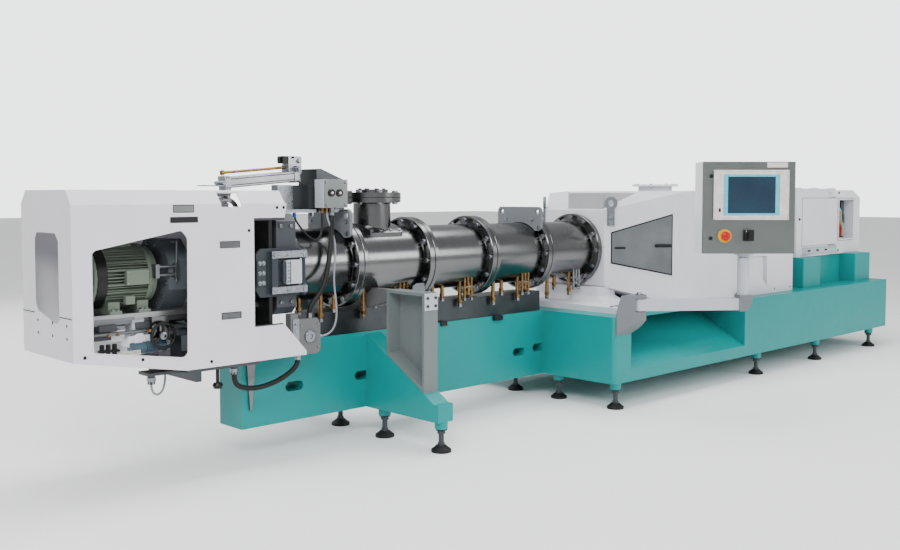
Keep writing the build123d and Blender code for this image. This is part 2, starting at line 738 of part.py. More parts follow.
# Cutter motor with cooling ribs, on its slide in line with the barrel
SLIDE_Z = 806
SLIDE_T = 24
SLIDE_TOP = SLIDE_Z + SLIDE_T
SLIDE_LEFT = -3198
FAN_LEFT = -3178
RIB_LEFT = -3120
RIB_RIGHT = -2900
SHIELD_RIGHT = -2862
RIB_COUNT = 26
RIB_H = 32
MOTOR_R = 123
with BuildPart() as motor_slide:
    with BuildSketch(Plane.XY.offset(SLIDE_Z)):
        with Locations((px((SLIDE_LEFT + DIE_FACE - CHAMBER_T) / 2), AXIS_Y)):
            Rectangle(DIE_FACE - CHAMBER_T - SLIDE_LEFT, 300)
    extrude(amount=SLIDE_T)
motor_slide.part.label = "motor_slide"
export_step(motor_slide.part, "parts/motor_slide.step")

HUB_LEFT = -2822
HUB_RIGHT = -2700
HUB_APOTHEM = AXIS_Z - SLIDE_TOP
with BuildPart() as cutter_motor:
    for radius, start, end in (
        (MOTOR_R + 27, FAN_LEFT, RIB_LEFT),
        (MOTOR_R, RIB_LEFT, RIB_RIGHT),
        (MOTOR_R + 14, RIB_RIGHT, SHIELD_RIGHT),
    ):
        with BuildSketch(Plane.YZ.offset(px(start))):
            with Locations((AXIS_Y, AXIS_Z)):
                RegularPolygon(radius, RIB_COUNT)
        extrude(amount=end - start)
    with BuildSketch(Plane.YZ.offset(px(RIB_LEFT))):
        with Locations((AXIS_Y, AXIS_Z)):
            with PolarLocations(MOTOR_R + RIB_H / 2 - 4, RIB_COUNT):
                Rectangle(RIB_H, 5)
    extrude(amount=RIB_RIGHT - RIB_LEFT)
    with BuildSketch(Plane.YZ.offset(px(SHIELD_RIGHT))):
        with Locations((AXIS_Y, AXIS_Z)):
            Circle(24)
    extrude(amount=HUB_LEFT - SHIELD_RIGHT)
    with BuildSketch(Plane.XY.offset(SLIDE_TOP)):
        with Locations((px(-3078), AXIS_Y), (px(-2935), AXIS_Y)):
            Rectangle(56, 250)
    extrude(amount=56)
    with BuildSketch(Plane.XY.offset(AXIS_Z + MOTOR_R - 10)):
        with Locations((px(-3010), AXIS_Y)):
            RectangleRounded(120, 110, 12)
    extrude(amount=60)
cutter_motor.part.label = "cutter_motor"
export_step(cutter_motor.part, "parts/cutter_motor.step")

# Octagonal bearing housing of the cutter, with its shaft to the die
with BuildPart() as cutter_hub:
    with BuildSketch(Plane.YZ.offset(px(HUB_LEFT))):
        with Locations((AXIS_Y, AXIS_Z)):
            RegularPolygon(HUB_APOTHEM, 8, major_radius=False, rotation=22.5)
    extrude(amount=HUB_RIGHT - HUB_LEFT)
cutter_hub.part.label = "cutter_hub"
export_step(cutter_hub.part, "parts/cutter_hub.step")

with BuildPart() as cutter_shaft:
    with BuildSketch(Plane.YZ.offset(px(HUB_RIGHT))):
        with Locations((AXIS_Y, AXIS_Z)):
            Circle(30)
    extrude(amount=DIE_FACE - CHAMBER_T - HUB_RIGHT)
cutter_shaft.part.label = "cutter_shaft"
export_step(cutter_shaft.part, "parts/cutter_shaft.step")

# Gear motor and handwheel below the slide
with BuildPart() as slide_gear_motor:
    with BuildSketch(Plane.XY.offset(640)):
        with Locations((px(-2965), py(-100))):
            RectangleRounded(98, 90, 10)
    extrude(amount=78)
    with BuildSketch(Plane.XY.offset(718)):
        with Locations((px(-2965), py(-100))):
            Rectangle(60, 70)
    extrude(amount=SLIDE_Z - 718)
    with BuildSketch(Plane.YZ.offset(px(-3008))):
        with Locations((py(-145), 664)):
            RegularPolygon(24, 12)
    extrude(amount=192)
slide_gear_motor.part.label = "slide_gear_motor"
export_step(slide_gear_motor.part, "parts/slide_gear_motor.step")

WHEEL_X = -2868
WHEEL_Y = -190
WHEEL_Z = 716
WHEEL_PIN = 8
with BuildPart() as wheel_bracket:
    with BuildSketch(Plane.XZ.offset(-py(WHEEL_Y + 20))):
        with Locations((px(WHEEL_X), (700 + SLIDE_Z) / 2)):
            Rectangle(86, SLIDE_Z - 700)
    extrude(amount=-40)
    with BuildSketch(Plane.XZ.offset(-py(WHEEL_Y + 20))):
        with Locations((px(WHEEL_X), WHEEL_Z)):
            Circle(WHEEL_PIN)
    extrude(amount=32)
    add(slide_gear_motor.part, mode=Mode.SUBTRACT)
wheel_bracket.part.label = "wheel_bracket"
export_step(wheel_bracket.part, "parts/wheel_bracket.step")

with BuildPart() as handwheel:
    with BuildSketch(Plane.XZ.offset(-py(WHEEL_Y))):
        with Locations((px(WHEEL_X), WHEEL_Z)):
            RegularPolygon(66, 28)
            RegularPolygon(54, 28, mode=Mode.SUBTRACT)
            with PolarLocations(35, 3, 90):
                Rectangle(46, 12)
            RegularPolygon(18, 12)
            Circle(WHEEL_PIN + 0.08, mode=Mode.SUBTRACT)
    extrude(amount=12)
    with BuildSketch(Plane.XZ.offset(-py(WHEEL_Y - 12))):
        with Locations((px(WHEEL_X + 42), WHEEL_Z + 42)):
            RegularPolygon(9, 8)
    extrude(amount=36)
handwheel.part.label = "handwheel"
export_step(handwheel.part, "parts/handwheel.step")

# Hoses and cables at the outlet, each a plain tube along its route
HOSE_R = 13
CABLE_R = 5.5
ROUTES = {
    "steam_hose": (HOSE_R, [
        (-1835, -155, 1316), (-1835, -155, 1262), (-1856, -184, 1205), (-1884, -216, 1142),
        (-1910, -238, 1070), (-1934, -250, 990), (-1960, -254, 910), (-1992, -248, 852),
        (-2030, -239, 812), (-2046, -235, 772), (-2046, -235, 734),
    ]),
    "drain_hose": (HOSE_R, [
        (-2120, -235, 546), (-2120, -235, 508), (-2148, -235, 472), (-2205, -234, 440),
        (-2280, -232, 414), (-2360, -230, 402), (-2430, -230, 408), (-2484, -230, 426),
        (-2505, -230, 456), (-2505, -230, 489),
    ]),
    "sensor_cable": (CABLE_R, [
        (-1868, -155, 1316), (-1868, -155, 1272), (-1860, -178, 1215), (-1852, -206, 1140),
        (-1862, -226, 1065), (-1882, -238, 988), (-1888, -244, 905), (-1878, -246, 825),
        (-1870, -244, 752), (-1874, -240, 696), (-1894, -237, 654), (-1936, -235, 630),
        (-1991, -235, 630),
    ]),
    "loop_cable": (CABLE_R, [
        (-2050, -112, 1290), (-2050, -112, 1262), (-2044, -146, 1222), (-2026, -180, 1178),
        (-1994, -202, 1144), (-1952, -202, 1150), (-1922, -186, 1192), (-1904, -164, 1238),
        (-1895, -150, 1280), (-1895, -150, 1316),
    ]),
    "tray_cable": (CABLE_R, [
        (-2925, -180, 489), (-2925, -180, 466), (-2913, -176, 442), (-2888, -170, 430),
        (-2862, -162, 440), (-2844, -152, 468), (-2835, -146, 502), (-2835, -146, 535),
    ]),
}
for name, (radius, places) in ROUTES.items():
    points = [Vector(px(x), py(y), z) for x, y, z in places]
    runs = [b - a for a, b in zip(points, points[1:])]
    turns = [radians(a.get_angle(b)) for a, b in zip(runs, runs[1:])]
    radii = [
        0.45 * min(a.length, b.length) / tan(turn / 2)
        for a, b, turn in zip(runs, runs[1:], turns)
    ]
    with BuildPart() as cord:
        with BuildLine():
            route = FilletPolyline(*points, radius=radii)
        with BuildSketch(Plane(origin=points[0], z_dir=runs[0])):
            Circle(radius)
        sweep()
    cord.part.label = name
    export_step(cord.part, f"parts/{name}.step")
    share = cord.part.volume / (pi * radius**2 * route.length)
    print(name, round(route.length), "mm long, least bend", round(min(radii)), "volume share", round(share, 3))

# Control panel on its swing arm
PIVOT = (px(180), py(-774))
HEADING = radians(ARM_ANGLE)
POST = (PIVOT[0] + ARM_LENGTH * cos(HEADING), PIVOT[1] + ARM_LENGTH * sin(HEADING))
KNUCKLE_R = 45
BRACKET_FOOT = (481, 610)       # low and high edge on the base
BRACKET_END = (575, 742)        # low and high edge at the pivot
with BuildPart() as arm_bracket:
    with BuildSketch(Plane.XY.offset(BRACKET_FOOT[0])):
        with Locations(PIVOT):
            Circle(KNUCKLE_R)
        with Locations((px(90), py(-716))):
            Rectangle(150, 8)
        make_hull()
    extrude(amount=BRACKET_END[1] - BRACKET_FOOT[0])
    with BuildSketch(Plane.YZ.offset(px(0))):
        with BuildLine():
            Polyline(
                (py(-711), BRACKET_FOOT[0] - 1), (py(-711), BRACKET_FOOT[0]), (py(-800), BRACKET_END[0]),
                (py(-830), BRACKET_END[0]), (py(-830), BRACKET_FOOT[0] - 1), close=True,
            )
        make_face()
        with BuildLine():
            Polyline(
                (py(-711), BRACKET_FOOT[1]), (py(-735), BRACKET_END[1] + 1), (py(-711), BRACKET_END[1] + 1),
                close=True,
            )
        make_face()
    extrude(amount=300, mode=Mode.SUBTRACT)
    with BuildSketch(Plane.XY.offset(ARM_Z - ARM_SIZE / 2 - 5)):
        with Locations(PIVOT):
            Circle(KNUCKLE_R + 16)
    extrude(amount=ARM_SIZE + 10, mode=Mode.SUBTRACT)
    with BuildSketch(Plane.XY.offset(600)):
        with Locations(PIVOT):
            Circle(14)
    extrude(amount=130)
arm_bracket.part.label = "arm_bracket"
export_step(arm_bracket.part, "parts/arm_bracket.step")

ARM_ALONG = (cos(HEADING), sin(HEADING), 0)
ARM_PLANE = Plane(origin=(PIVOT[0], PIVOT[1], ARM_Z), x_dir=ARM_ALONG, z_dir=(0, 0, 1))
with BuildPart() as panel_arm:
    with BuildSketch(ARM_PLANE.offset(-ARM_SIZE / 2)):
        Circle(KNUCKLE_R - 2)
        with Locations((ARM_LENGTH / 2 - 19, 0)):
            Rectangle(ARM_LENGTH - 38, ARM_SIZE)
        Circle(14.08, mode=Mode.SUBTRACT)
    extrude(amount=ARM_SIZE)
panel_arm.part.label = "panel_arm"
export_step(panel_arm.part, "parts/panel_arm.step")

with BuildPart() as arm_elbow:
    with BuildSketch(Plane(origin=ARM_PLANE.origin, x_dir=ARM_ALONG, z_dir=(sin(HEADING), -cos(HEADING), 0))):
        with BuildLine():
            Polyline(
                (ARM_LENGTH - 38, -46), (ARM_LENGTH + 4, -46), (ARM_LENGTH + 46, -4),
                (ARM_LENGTH + 46, 60), (ARM_LENGTH - 38, 60), close=True,
            )
        make_face()
    extrude(amount=46, both=True)
arm_elbow.part.label = "arm_elbow"
export_step(arm_elbow.part, "parts/arm_elbow.step")

CABINET_BOTTOM = 1010
with BuildPart() as panel_post:
    with BuildSketch(Plane.XY.offset(ARM_Z + 60)):
        with Locations(POST):
            Circle(38)
    extrude(amount=CABINET_BOTTOM - 30 - ARM_Z - 60)
    with BuildSketch(Plane.XY.offset(CABINET_BOTTOM - 30)):
        with Locations(POST):
            Circle(24)
    extrude(amount=28)
panel_post.part.label = "panel_post"
export_step(panel_post.part, "parts/panel_post.step")

with BuildPart() as cabinet_coupling:
    for radius, low in ((40, 25), (64, 8)):
        with BuildSketch(Plane.XY.offset(CABINET_BOTTOM - low)):
            with Locations(POST):
                RegularPolygon(radius, 20)
                Circle(24.08, mode=Mode.SUBTRACT)
        extrude(amount=low)
cabinet_coupling.part.label = "cabinet_coupling"
export_step(cabinet_coupling.part, "parts/cabinet_coupling.step")

FACING = Plane(
    origin=(POST[0], POST[1], CABINET_BOTTOM),
    x_dir=(0.7190, -0.6950, 0),
    z_dir=(-0.6950, -0.7190, 0),
)
with BuildPart() as panel_cabinet:
    with BuildSketch(FACING.offset(-CABINET_DEEP / 2)):
        with Locations((0, CABINET / 2)):
            Rectangle(CABINET, CABINET)
    extrude(amount=CABINET_DEEP - 20)
panel_cabinet.part.label = "panel_cabinet"
export_step(panel_cabinet.part, "parts/panel_cabinet.step")

with BuildPart() as cabinet_door:
    with BuildSketch(FACING.offset(CABINET_DEEP / 2 - 20)):
        with Locations((0, CABINET / 2)):
            Rectangle(CABINET, CABINET)
    extrude(amount=20)
cabinet_door.part.label = "cabinet_door"
export_step(cabinet_door.part, "parts/cabinet_door.step")

with BuildPart() as display_panel:
    with BuildSketch(FACING.offset(CABINET_DEEP / 2)):
        with Locations((12, 377)):
            Rectangle(478, 316)
    extrude(amount=10)
display_panel.part.label = "display_panel"
export_step(display_panel.part, "parts/display_panel.step")

with BuildPart() as stop_button:
    for radius, low, high in ((42, 0, 12), (20, 12, 34), (27, 34, 48)):
        with BuildSketch(FACING.offset(CABINET_DEEP / 2 + low)):
            with Locations((-156, 114)):
                RegularPolygon(radius, 20)
        extrude(amount=high - low)
stop_button.part.label = "stop_button"
export_step(stop_button.part, "parts/stop_button.step")

with BuildPart() as main_switch:
    with BuildSketch(FACING.offset(CABINET_DEEP / 2)):
        with Locations((-2, 117)):
            Rectangle(66, 70)
    extrude(amount=14)
    with BuildSketch(FACING.offset(CABINET_DEEP / 2 + 14)):
        with Locations((-2, 117)):
            Circle(26)
    extrude(amount=26)
main_switch.part.label = "main_switch"
export_step(main_switch.part, "parts/main_switch.step")
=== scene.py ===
"""Dresses the food extruder: finishes, fasteners, fittings, hoses and the studio round it."""

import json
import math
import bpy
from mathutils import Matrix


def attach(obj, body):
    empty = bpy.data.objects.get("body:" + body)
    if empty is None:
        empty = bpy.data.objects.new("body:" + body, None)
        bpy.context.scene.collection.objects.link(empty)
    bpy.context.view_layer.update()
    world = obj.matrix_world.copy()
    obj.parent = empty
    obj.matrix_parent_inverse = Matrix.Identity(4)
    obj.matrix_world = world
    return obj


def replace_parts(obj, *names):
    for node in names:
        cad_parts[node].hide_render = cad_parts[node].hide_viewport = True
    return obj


bl_info = {
    "name": "Food extruder dressing",
    "version": (1, 0, 0),
    "blender": (4, 5, 0),
    "location": "View3D > Sidebar > Extruder",
    "description": "Finishes, fasteners, hoses and studio for a single screw food extruder",
    "category": "Object",
}

import bmesh
import bpy
from bpy.props import FloatProperty, FloatVectorProperty, IntProperty, PointerProperty
from mathutils import Matrix, Vector

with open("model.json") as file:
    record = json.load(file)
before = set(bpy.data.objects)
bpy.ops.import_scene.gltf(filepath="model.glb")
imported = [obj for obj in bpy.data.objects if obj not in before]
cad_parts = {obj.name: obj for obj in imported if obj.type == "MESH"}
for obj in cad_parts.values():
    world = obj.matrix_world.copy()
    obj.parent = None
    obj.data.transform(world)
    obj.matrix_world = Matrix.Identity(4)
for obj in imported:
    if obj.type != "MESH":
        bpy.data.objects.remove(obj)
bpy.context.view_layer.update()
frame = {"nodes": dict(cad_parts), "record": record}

# The machine's own frame in millimetres: X from the base's left end, Y from the barrel axis, Z from the floor
MM = 0.001
MACHINE = Vector((-452, 378, 0))
AXIS_Z = 1000
SECTION_L = 537
GEAR_FACE = 469
SECTION_COUNT = 5
DIE_RIGHT = -2130
TUBE_R = 200
FLANGE_R = 254
FLANGE_T = 40
CASE_HALF_W = 598
TRAY_TOP = 549
NOSE_SEAM = 1020
HOOD_HALF_W = 280
CABINET_DEEP = 210
CABINET_BOTTOM = 1010
ARM_LENGTH = 694
ARM_HEADING = math.radians(-38.1)
PIVOT = Vector((180, -774, 676))
POST = PIVOT + ARM_LENGTH * Vector((math.cos(ARM_HEADING), math.sin(ARM_HEADING), 0))

X_AXIS = Vector((1, 0, 0))
Y_AXIS = Vector((0, 1, 0))
Z_AXIS = Vector((0, 0, 1))
OPERATOR = Vector((0, -1, 0))


def at(x, y, z):
    """A point of the machine in the scene's metres."""
    return (Vector((x, y, z)) + MACHINE) * MM


def circle(count, radius, start=0.0):
    """Points spaced evenly round a circle, the first at an angle in degrees."""
    turns = [math.radians(start + 360 * i / count) for i in range(count)]
    return [(radius * math.cos(a), radius * math.sin(a)) for a in turns]


def upright(origin, along, outward):
    """Matrix of a face: X along it, Y up it and Z out of it, in machine millimetres."""
    along, outward = along.normalized(), outward.normalized()
    turn = Matrix((along, outward.cross(along), outward)).transposed().to_4x4()
    return Matrix.Translation(origin) @ turn


FACING = Vector((-0.6950, -0.7190, 0))
CABINET_FRONT = Vector((POST.x, POST.y, CABINET_BOTTOM)) + FACING * CABINET_DEEP / 2
CABINET_FACE = upright(CABINET_FRONT, Vector((0.7190, -0.6950, 0)), FACING)
FLARE_ALONG = Vector((420, 318, 0)).normalized()
FLARE_CORNER = (480, 280)


def flare_face(side):
    """The gearbox's flared side: X runs along the slope, Y is the height."""
    x, y = FLARE_CORNER
    along = Vector((FLARE_ALONG.x, side * FLARE_ALONG.y, 0))
    outward = Vector((-FLARE_ALONG.y, side * FLARE_ALONG.x, 0))
    face = upright(Vector((x, side * y, 0)), along, outward)
    return face @ Matrix.Diagonal((1, -1, 1, 1)) if side > 0 else face


def linked(name, data):
    """A new object in the scene."""
    thing = bpy.data.objects.new(name, data)
    bpy.context.scene.collection.objects.link(thing)
    return thing


# Meshes

SHARP = math.radians(32)
BEVEL_FROM = math.radians(40)
WELD = 1e-6
BOX_FACES = ((3, 2, 1, 0), (4, 5, 6, 7), (0, 1, 5, 4), (1, 2, 6, 5), (2, 3, 7, 6), (3, 0, 4, 7))


class Form:
    """A mesh under construction, in machine millimetres or in a face's own ones."""

    def __init__(self, place=None, body="frame"):
        self.mesh = bmesh.new()
        self.place = place or Matrix()
        self.body = body

    def point(self, p):
        return self.mesh.verts.new(at(*(self.place @ Vector(p))))

    def box(self, low, high):
        """A block between two corners."""
        (x0, y0, z0), (x1, y1, z1) = low, high
        v = [self.point((x, y, z)) for z in (z0, z1) for x, y in ((x0, y0), (x1, y0), (x1, y1), (x0, y1))]
        for loop in BOX_FACES:
            self.mesh.faces.new([v[i] for i in loop])
        return self

    def boxes(self, *corners):
        """Several blocks."""
        for low, high in corners:
            self.box(low, high)
        return self

    def prism(self, outline, start, end):
        """A closed outline of three-dimensional points, pushed along a vector from start to end."""
        a = [self.point(Vector(p) + Vector(start)) for p in outline]
        b = [self.point(Vector(p) + Vector(end)) for p in outline]
        self.mesh.faces.new(a)
        self.mesh.faces.new(b[::-1])
        for i in range(len(outline)):
            self.mesh.faces.new((a[i - 1], b[i - 1], b[i], a[i]))
        return self

    def turned(self, origin, axis, profile, sides=32):
        """A profile of (radius, height) points turned about an axis; radius 0 closes an end."""
        axis = Vector(axis).normalized()
        side = axis.orthogonal().normalized()
        other = axis.cross(side)
        spokes = [x * side + y * other for x, y in circle(sides, 1)]
        rings = []
        for radius, height in profile:
            centre = Vector(origin) + axis * height
            ring = spokes if radius else spokes[:1]
            rings.append([self.point(centre + radius * spoke) for spoke in ring])
        for lower, upper in zip(rings, rings[1:]):
            low, high = len(lower), len(upper)
            for i in range(sides):
                j = (i + 1) % sides
                face = (lower[i % low], lower[j % low], upper[j % high], upper[i % high])
                face = list(dict.fromkeys(face))
                if len(face) > 2:
                    self.mesh.faces.new(face)
        return self

    def rod(self, start, end, radius, sides=20, lip=0.0):
        """A round bar between two points, with a chamfer on both ends."""
        start, end = Vector(start), Vector(end)
        length = (end - start).length
        profile = [(0, 0), (radius, 0), (radius, length), (0, length)]
        if lip:
            profile[1:3] = [(radius - lip, 0), (radius, lip), (radius, length - lip), (radius - lip, length)]
        return self.turned(start, end - start, profile, sides)

    def rods(self, *bars):
        """Several round bars."""
        for bar in bars:
            self.rod(*bar)
        return self

    def done(self, name, finish, bevel=0.0, steps=2):
        """The finished piece, riding on its body."""
        bmesh.ops.remove_doubles(self.mesh, verts=self.mesh.verts, dist=WELD)
        bmesh.ops.recalc_face_normals(self.mesh, faces=self.mesh.faces)
        for face in self.mesh.faces:
            face.smooth = True
        for edge in self.mesh.edges:
            edge.smooth = len(edge.link_faces) == 2 and edge.calc_face_angle(0.0) < SHARP
        data = bpy.data.meshes.new(name)
        self.mesh.to_mesh(data)
        self.mesh.free()
        return dress(data, name, finish, self.body, bevel, steps)


def dress(data, name, finish, body, bevel=0.0, steps=2):
    """A mesh as a piece of the machine: linked, finished and riding on its body."""
    piece = linked(name, data)
    data.materials.clear()
    data.materials.append(FINISH[finish])
    if bevel:
        rounding = piece.modifiers.new("edges", "BEVEL")
        rounding.width = bevel * MM
        rounding.segments = steps
        rounding.limit_method = "ANGLE"
        rounding.angle_limit = BEVEL_FROM
        rounding.harden_normals = False
    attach(piece, body)
    return piece


# Finishes


def rgb(red, green, blue):
    """Screen colour 0 to 255 as linear light."""
    def linear(value):
        value /= 255
        return value / 12.92 if value <= 0.04045 else ((value + 0.055) / 1.055) ** 2.4
    return (linear(red), linear(green), linear(blue))


def feed(tree, node, inputs):
    """Sets a node's inputs; one given as another node's output is linked."""
    for socket, value in inputs.items():
        if isinstance(value, bpy.types.NodeSocket):
            tree.links.new(value, node.inputs[socket])
        else:
            node.inputs[socket].default_value = value


def add_node(tree, kind, inputs, **options):
    """A new node with its options and inputs; gives back its outputs."""
    node = tree.nodes.new(kind)
    for option, value in options.items():
        setattr(node, option, value)
    feed(tree, node, inputs)
    return node.outputs


NOISE_RANGE = (0.3, 0.7)
PAINT_SPECULAR = 0.22
PLASTIC_SPECULAR = 0.3
SCREEN_ROUGHNESS = 0.12


class Recipe:
    """One procedural finish, laid out from object coordinates to a principled surface."""

    def __init__(self, name, colour, roughness):
        self.material = bpy.data.materials.new(name)
        self.material.use_nodes = True
        self.tree = self.material.node_tree
        self.colour, self.roughness = colour, roughness
        self.surface({"Base Color": (*colour, 1), "Roughness": roughness})
        self.place = add_node(self.tree, "ShaderNodeTexCoord", {})["Object"]

    def surface(self, inputs):
        feed(self.tree, self.tree.nodes["Principled BSDF"], inputs)
        return self

    def noise(self, scale, detail):
        """Noise whose cells measure 1/scale metres along X, Y and Z."""
        place = add_node(self.tree, "ShaderNodeMapping", {"Scale": scale, "Vector": self.place})["Vector"]
        inputs = {"Scale": 1.0, "Detail": detail, "Vector": place}
        return add_node(self.tree, "ShaderNodeTexNoise", inputs)["Fac"]

    def spread(self, value, low, high):
        """Noise stretched to reach from low to high."""
        start, stop = NOISE_RANGE
        inputs = {"From Min": start, "From Max": stop, "To Min": low, "To Max": high, "Value": value}
        return add_node(self.tree, "ShaderNodeMapRange", inputs)["Result"]

    def vary(self, scale, amount):
        """Uneven colour, as paint and metal have it."""
        dark = [c * (1 - amount) for c in self.colour]
        light = [min(1.0, c * (1 + amount)) for c in self.colour]
        inputs = {0: self.spread(self.noise((scale,) * 3, 4), 0, 1), 6: (*dark, 1), 7: (*light, 1)}
        return self.surface({"Base Color": add_node(self.tree, "ShaderNodeMix", inputs, data_type="RGBA")[2]})

    def rough(self, scale, amount, detail=3.0):
        """Uneven gloss."""
        value = self.spread(self.noise(scale, detail), self.roughness - amount, self.roughness + amount)
        return self.surface({"Roughness": value})

    def grain(self, scale, depth, strength=0.4, detail=2.0):
        """Fine relief; depth in metres."""
        inputs = {"Strength": strength, "Distance": depth, "Height": self.noise(scale, detail)}
        return self.surface({"Normal": add_node(self.tree, "ShaderNodeBump", inputs)["Normal"]})

    def coat(self, weight, roughness):
        return self.surface({"Coat Weight": weight, "Coat Roughness": roughness})


def painted(name, colour, roughness, peel=0.00012):
    """Sprayed enamel with faint orange peel."""
    recipe = Recipe(name, colour, roughness).surface({"Specular IOR Level": PAINT_SPECULAR}).coat(0.06, 0.15)
    return recipe.vary(2.5, 0.035).rough((9, 9, 9), 0.05).grain((420, 420, 420), peel).material


def cast_paint(name, colour, roughness):
    """Paint over a casting: the sand's texture shows through."""
    recipe = Recipe(name, colour, roughness)
    return recipe.vary(3.5, 0.05).rough((14, 14, 14), 0.07).grain((160, 160, 160), 0.0005, 0.5, 5).material


def metal(name, colour, roughness, lines, amount=0.09, depth=0.00004, patch=6.0, tone=0.12):
    """Bare metal; lines gives the grain's cells, long ones along the working direction."""
    recipe = Recipe(name, colour, roughness).surface({"Metallic": 1.0})
    return recipe.vary(patch, tone).rough(lines, amount, 2).grain(lines, depth, 0.35).material


def moulded(name, colour, roughness):
    """Plastic or rubber with a fine pebble."""
    recipe = Recipe(name, colour, roughness).surface({"Specular IOR Level": PLASTIC_SPECULAR})
    return recipe.vary(30, 0.12).rough((60, 60, 60), 0.06).grain((900, 900, 900), 0.00008).material


def glowing(name, colour, strength):
    """A lit screen."""
    recipe = Recipe(name, colour, SCREEN_ROUGHNESS).vary(4, 0.25).rough((5, 5, 5), 0.03).coat(0.6, 0.05)
    return recipe.surface({"Emission Color": (*colour, 1), "Emission Strength": strength}).material


BLACK = (15, 15, 16)
FINISH_ROWS = {
    painted: {
        "black_steel": (BLACK, 0.45), "arm_grey": ((172, 176, 184), 0.40), "dark_grey": ((58, 61, 66), 0.48),
        "blue_grey": ((62, 82, 94), 0.42), "motor_green_grey": ((96, 106, 94), 0.46),
        "navy": ((44, 50, 56), 0.42), "steel_paint": ((104, 108, 112), 0.44),
        "box_grey": ((158, 161, 163), 0.44), "frame_paint": ((102, 110, 110), 0.46),
        "pale_grey": ((232, 236, 239), 0.42), "hub_grey": ((72, 78, 82), 0.42),
    },
    cast_paint: {"cast_iron": ((88, 90, 90), 0.5)},
    metal: {
        "stainless": ((110, 111, 111), 0.22, (160, 4, 4), 0.035, 0.00001, 6.0, 0.05),
        "sheet_steel": ((118, 121, 123), 0.42, (14, 14, 320), 0.08),
        "plate_steel": ((72, 76, 78), 0.40, (14, 320, 14), 0.08),
        "zinc": ((138, 142, 148), 0.32, (90, 90, 90), 0.10, 0.00008, 40, 0.2),
        "brass": ((134, 106, 68), 0.32, (120, 120, 120), 0.1, 0.00005, 50, 0.2),
        "cabinet_grey": ((112, 117, 115), 0.42, (12, 12, 260), 0.07, 0.00003, 3, 0.06),
        "aluminium": ((158, 159, 161), 0.36, (10, 240, 240), 0.08),
    },
    moulded: {
        "black_rubber": (BLACK, 0.55), "black_plastic": (BLACK, 0.38), "bezel": ((206, 200, 192), 0.42),
        "signal": ((170, 16, 12), 0.30), "yellow": ((204, 150, 10), 0.40), "cyan": ((88, 176, 200), 0.35),
        "grey_rubber": ((126, 130, 138), 0.5), "blue": ((20, 70, 160), 0.4),
    },
    glowing: {"screen": ((6, 42, 60), 0.15)},
}
NODE_FINISH = {
    "barrel_saddle": "cast_iron", "lock_block": "cast_iron", "levelling_feet": "black_rubber",
    "die_block": "dark_grey", "swing_clamp": "navy", "cutter_hub": "hub_grey", "junction_box": "arm_grey",
    "support_frames": "frame_paint", "hood_tray": "plate_steel", "valve_box": "plate_steel",
    "valve_shelf": "zinc", "lifting_plate": "steel_paint", "display_panel": "bezel",
    "gearbox_top_box": "box_grey", "cabinet_coupling": "arm_grey", "arm_elbow": "steel_paint",
    "panel_cabinet": "pale_grey",
    "beam_trough": "plate_steel", "lifting_lugs": "steel_paint", "arm_bracket": "steel_paint",
    "cutter_shaft": "zinc", "slide_gear_motor": "arm_grey", "motor_slide": "aluminium",
}
# Slots of the finishes and pieces whose slot has another name
FINISH = {}


class EXTRUDER_OT_finishes(bpy.types.Operator):
    """Finishes on every piece of the frame"""

    bl_idname = "extruder.finishes"
    bl_label = "Finishes"

    def execute(self, context):
        colours = context.scene.extruder_colours
        FINISH["machine_teal"] = painted("machine_teal", tuple(colours.base), 0.36)
        FINISH["casting_white"] = cast_paint("casting_white", tuple(colours.casting), 0.42)
        FINISH["guard_white"] = painted("guard_white", tuple(colours.guard), 0.40, 0.0002)
        FINISH["motor_grey"] = painted("motor_grey", tuple(colours.casting), 0.40)
        for maker, rows in FINISH_ROWS.items():
            for name, (colour, *values) in rows.items():
                FINISH[name] = maker(name, rgb(*colour), *values)
        slots = {row["node"]: row["material_slot"] for row in frame["record"]["subparts"]}
        for name, node in frame["nodes"].items():
            node.data.materials.clear()
            node.data.materials.append(FINISH[NODE_FINISH.get(name, slots[name])])
        return {"FINISHED"}


# Fasteners, set on points by a node tree

HEAD_SIDES = 12
HEXAGON_FLAT = math.cos(math.pi / 6)
# Rings of (radius, height, whether the ring has six corners)
SCREWS = {
    "socket": [(1, 0, False), (1, 0.85, False), (0.88, 1, False), (0.58, 1, True), (0.55, 0.45, True)],
    "hex": [(1.3, 0, False), (1.3, 0.14, False), (1.02, 0.14, True), (1.02, 0.7, True), (0.8, 0.78, False)],
    "button": [(1, 0, False), (0.97, 0.2, False), (0.75, 0.42, False), (0.48, 0.52, True), (0.45, 0.3, True)],
}
TREES, TEMPLATES = {}, {}


def screw_template(kind):
    """A unit screw whose head has radius 1 metre, standing on Z."""
    mesh = bmesh.new()
    rings = []
    for radius, height, corners in SCREWS[kind]:
        flats = (1.0, HEXAGON_FLAT if corners else 1.0)
        ring = enumerate(circle(HEAD_SIDES, radius))
        rings.append([mesh.verts.new((x * flats[i % 2], y * flats[i % 2], height)) for i, (x, y) in ring])
    for lower, upper in zip(rings, rings[1:]):
        for i in range(HEAD_SIDES):
            mesh.faces.new((lower[i - 1], lower[i], upper[i], upper[i - 1]))
    mesh.faces.new(rings[-1])
    mesh.faces.new(rings[0][::-1])
    data = bpy.data.meshes.new("template_" + kind)
    mesh.to_mesh(data)
    mesh.free()
    template = linked("template_" + kind, data)
    template.hide_render = True
    return template


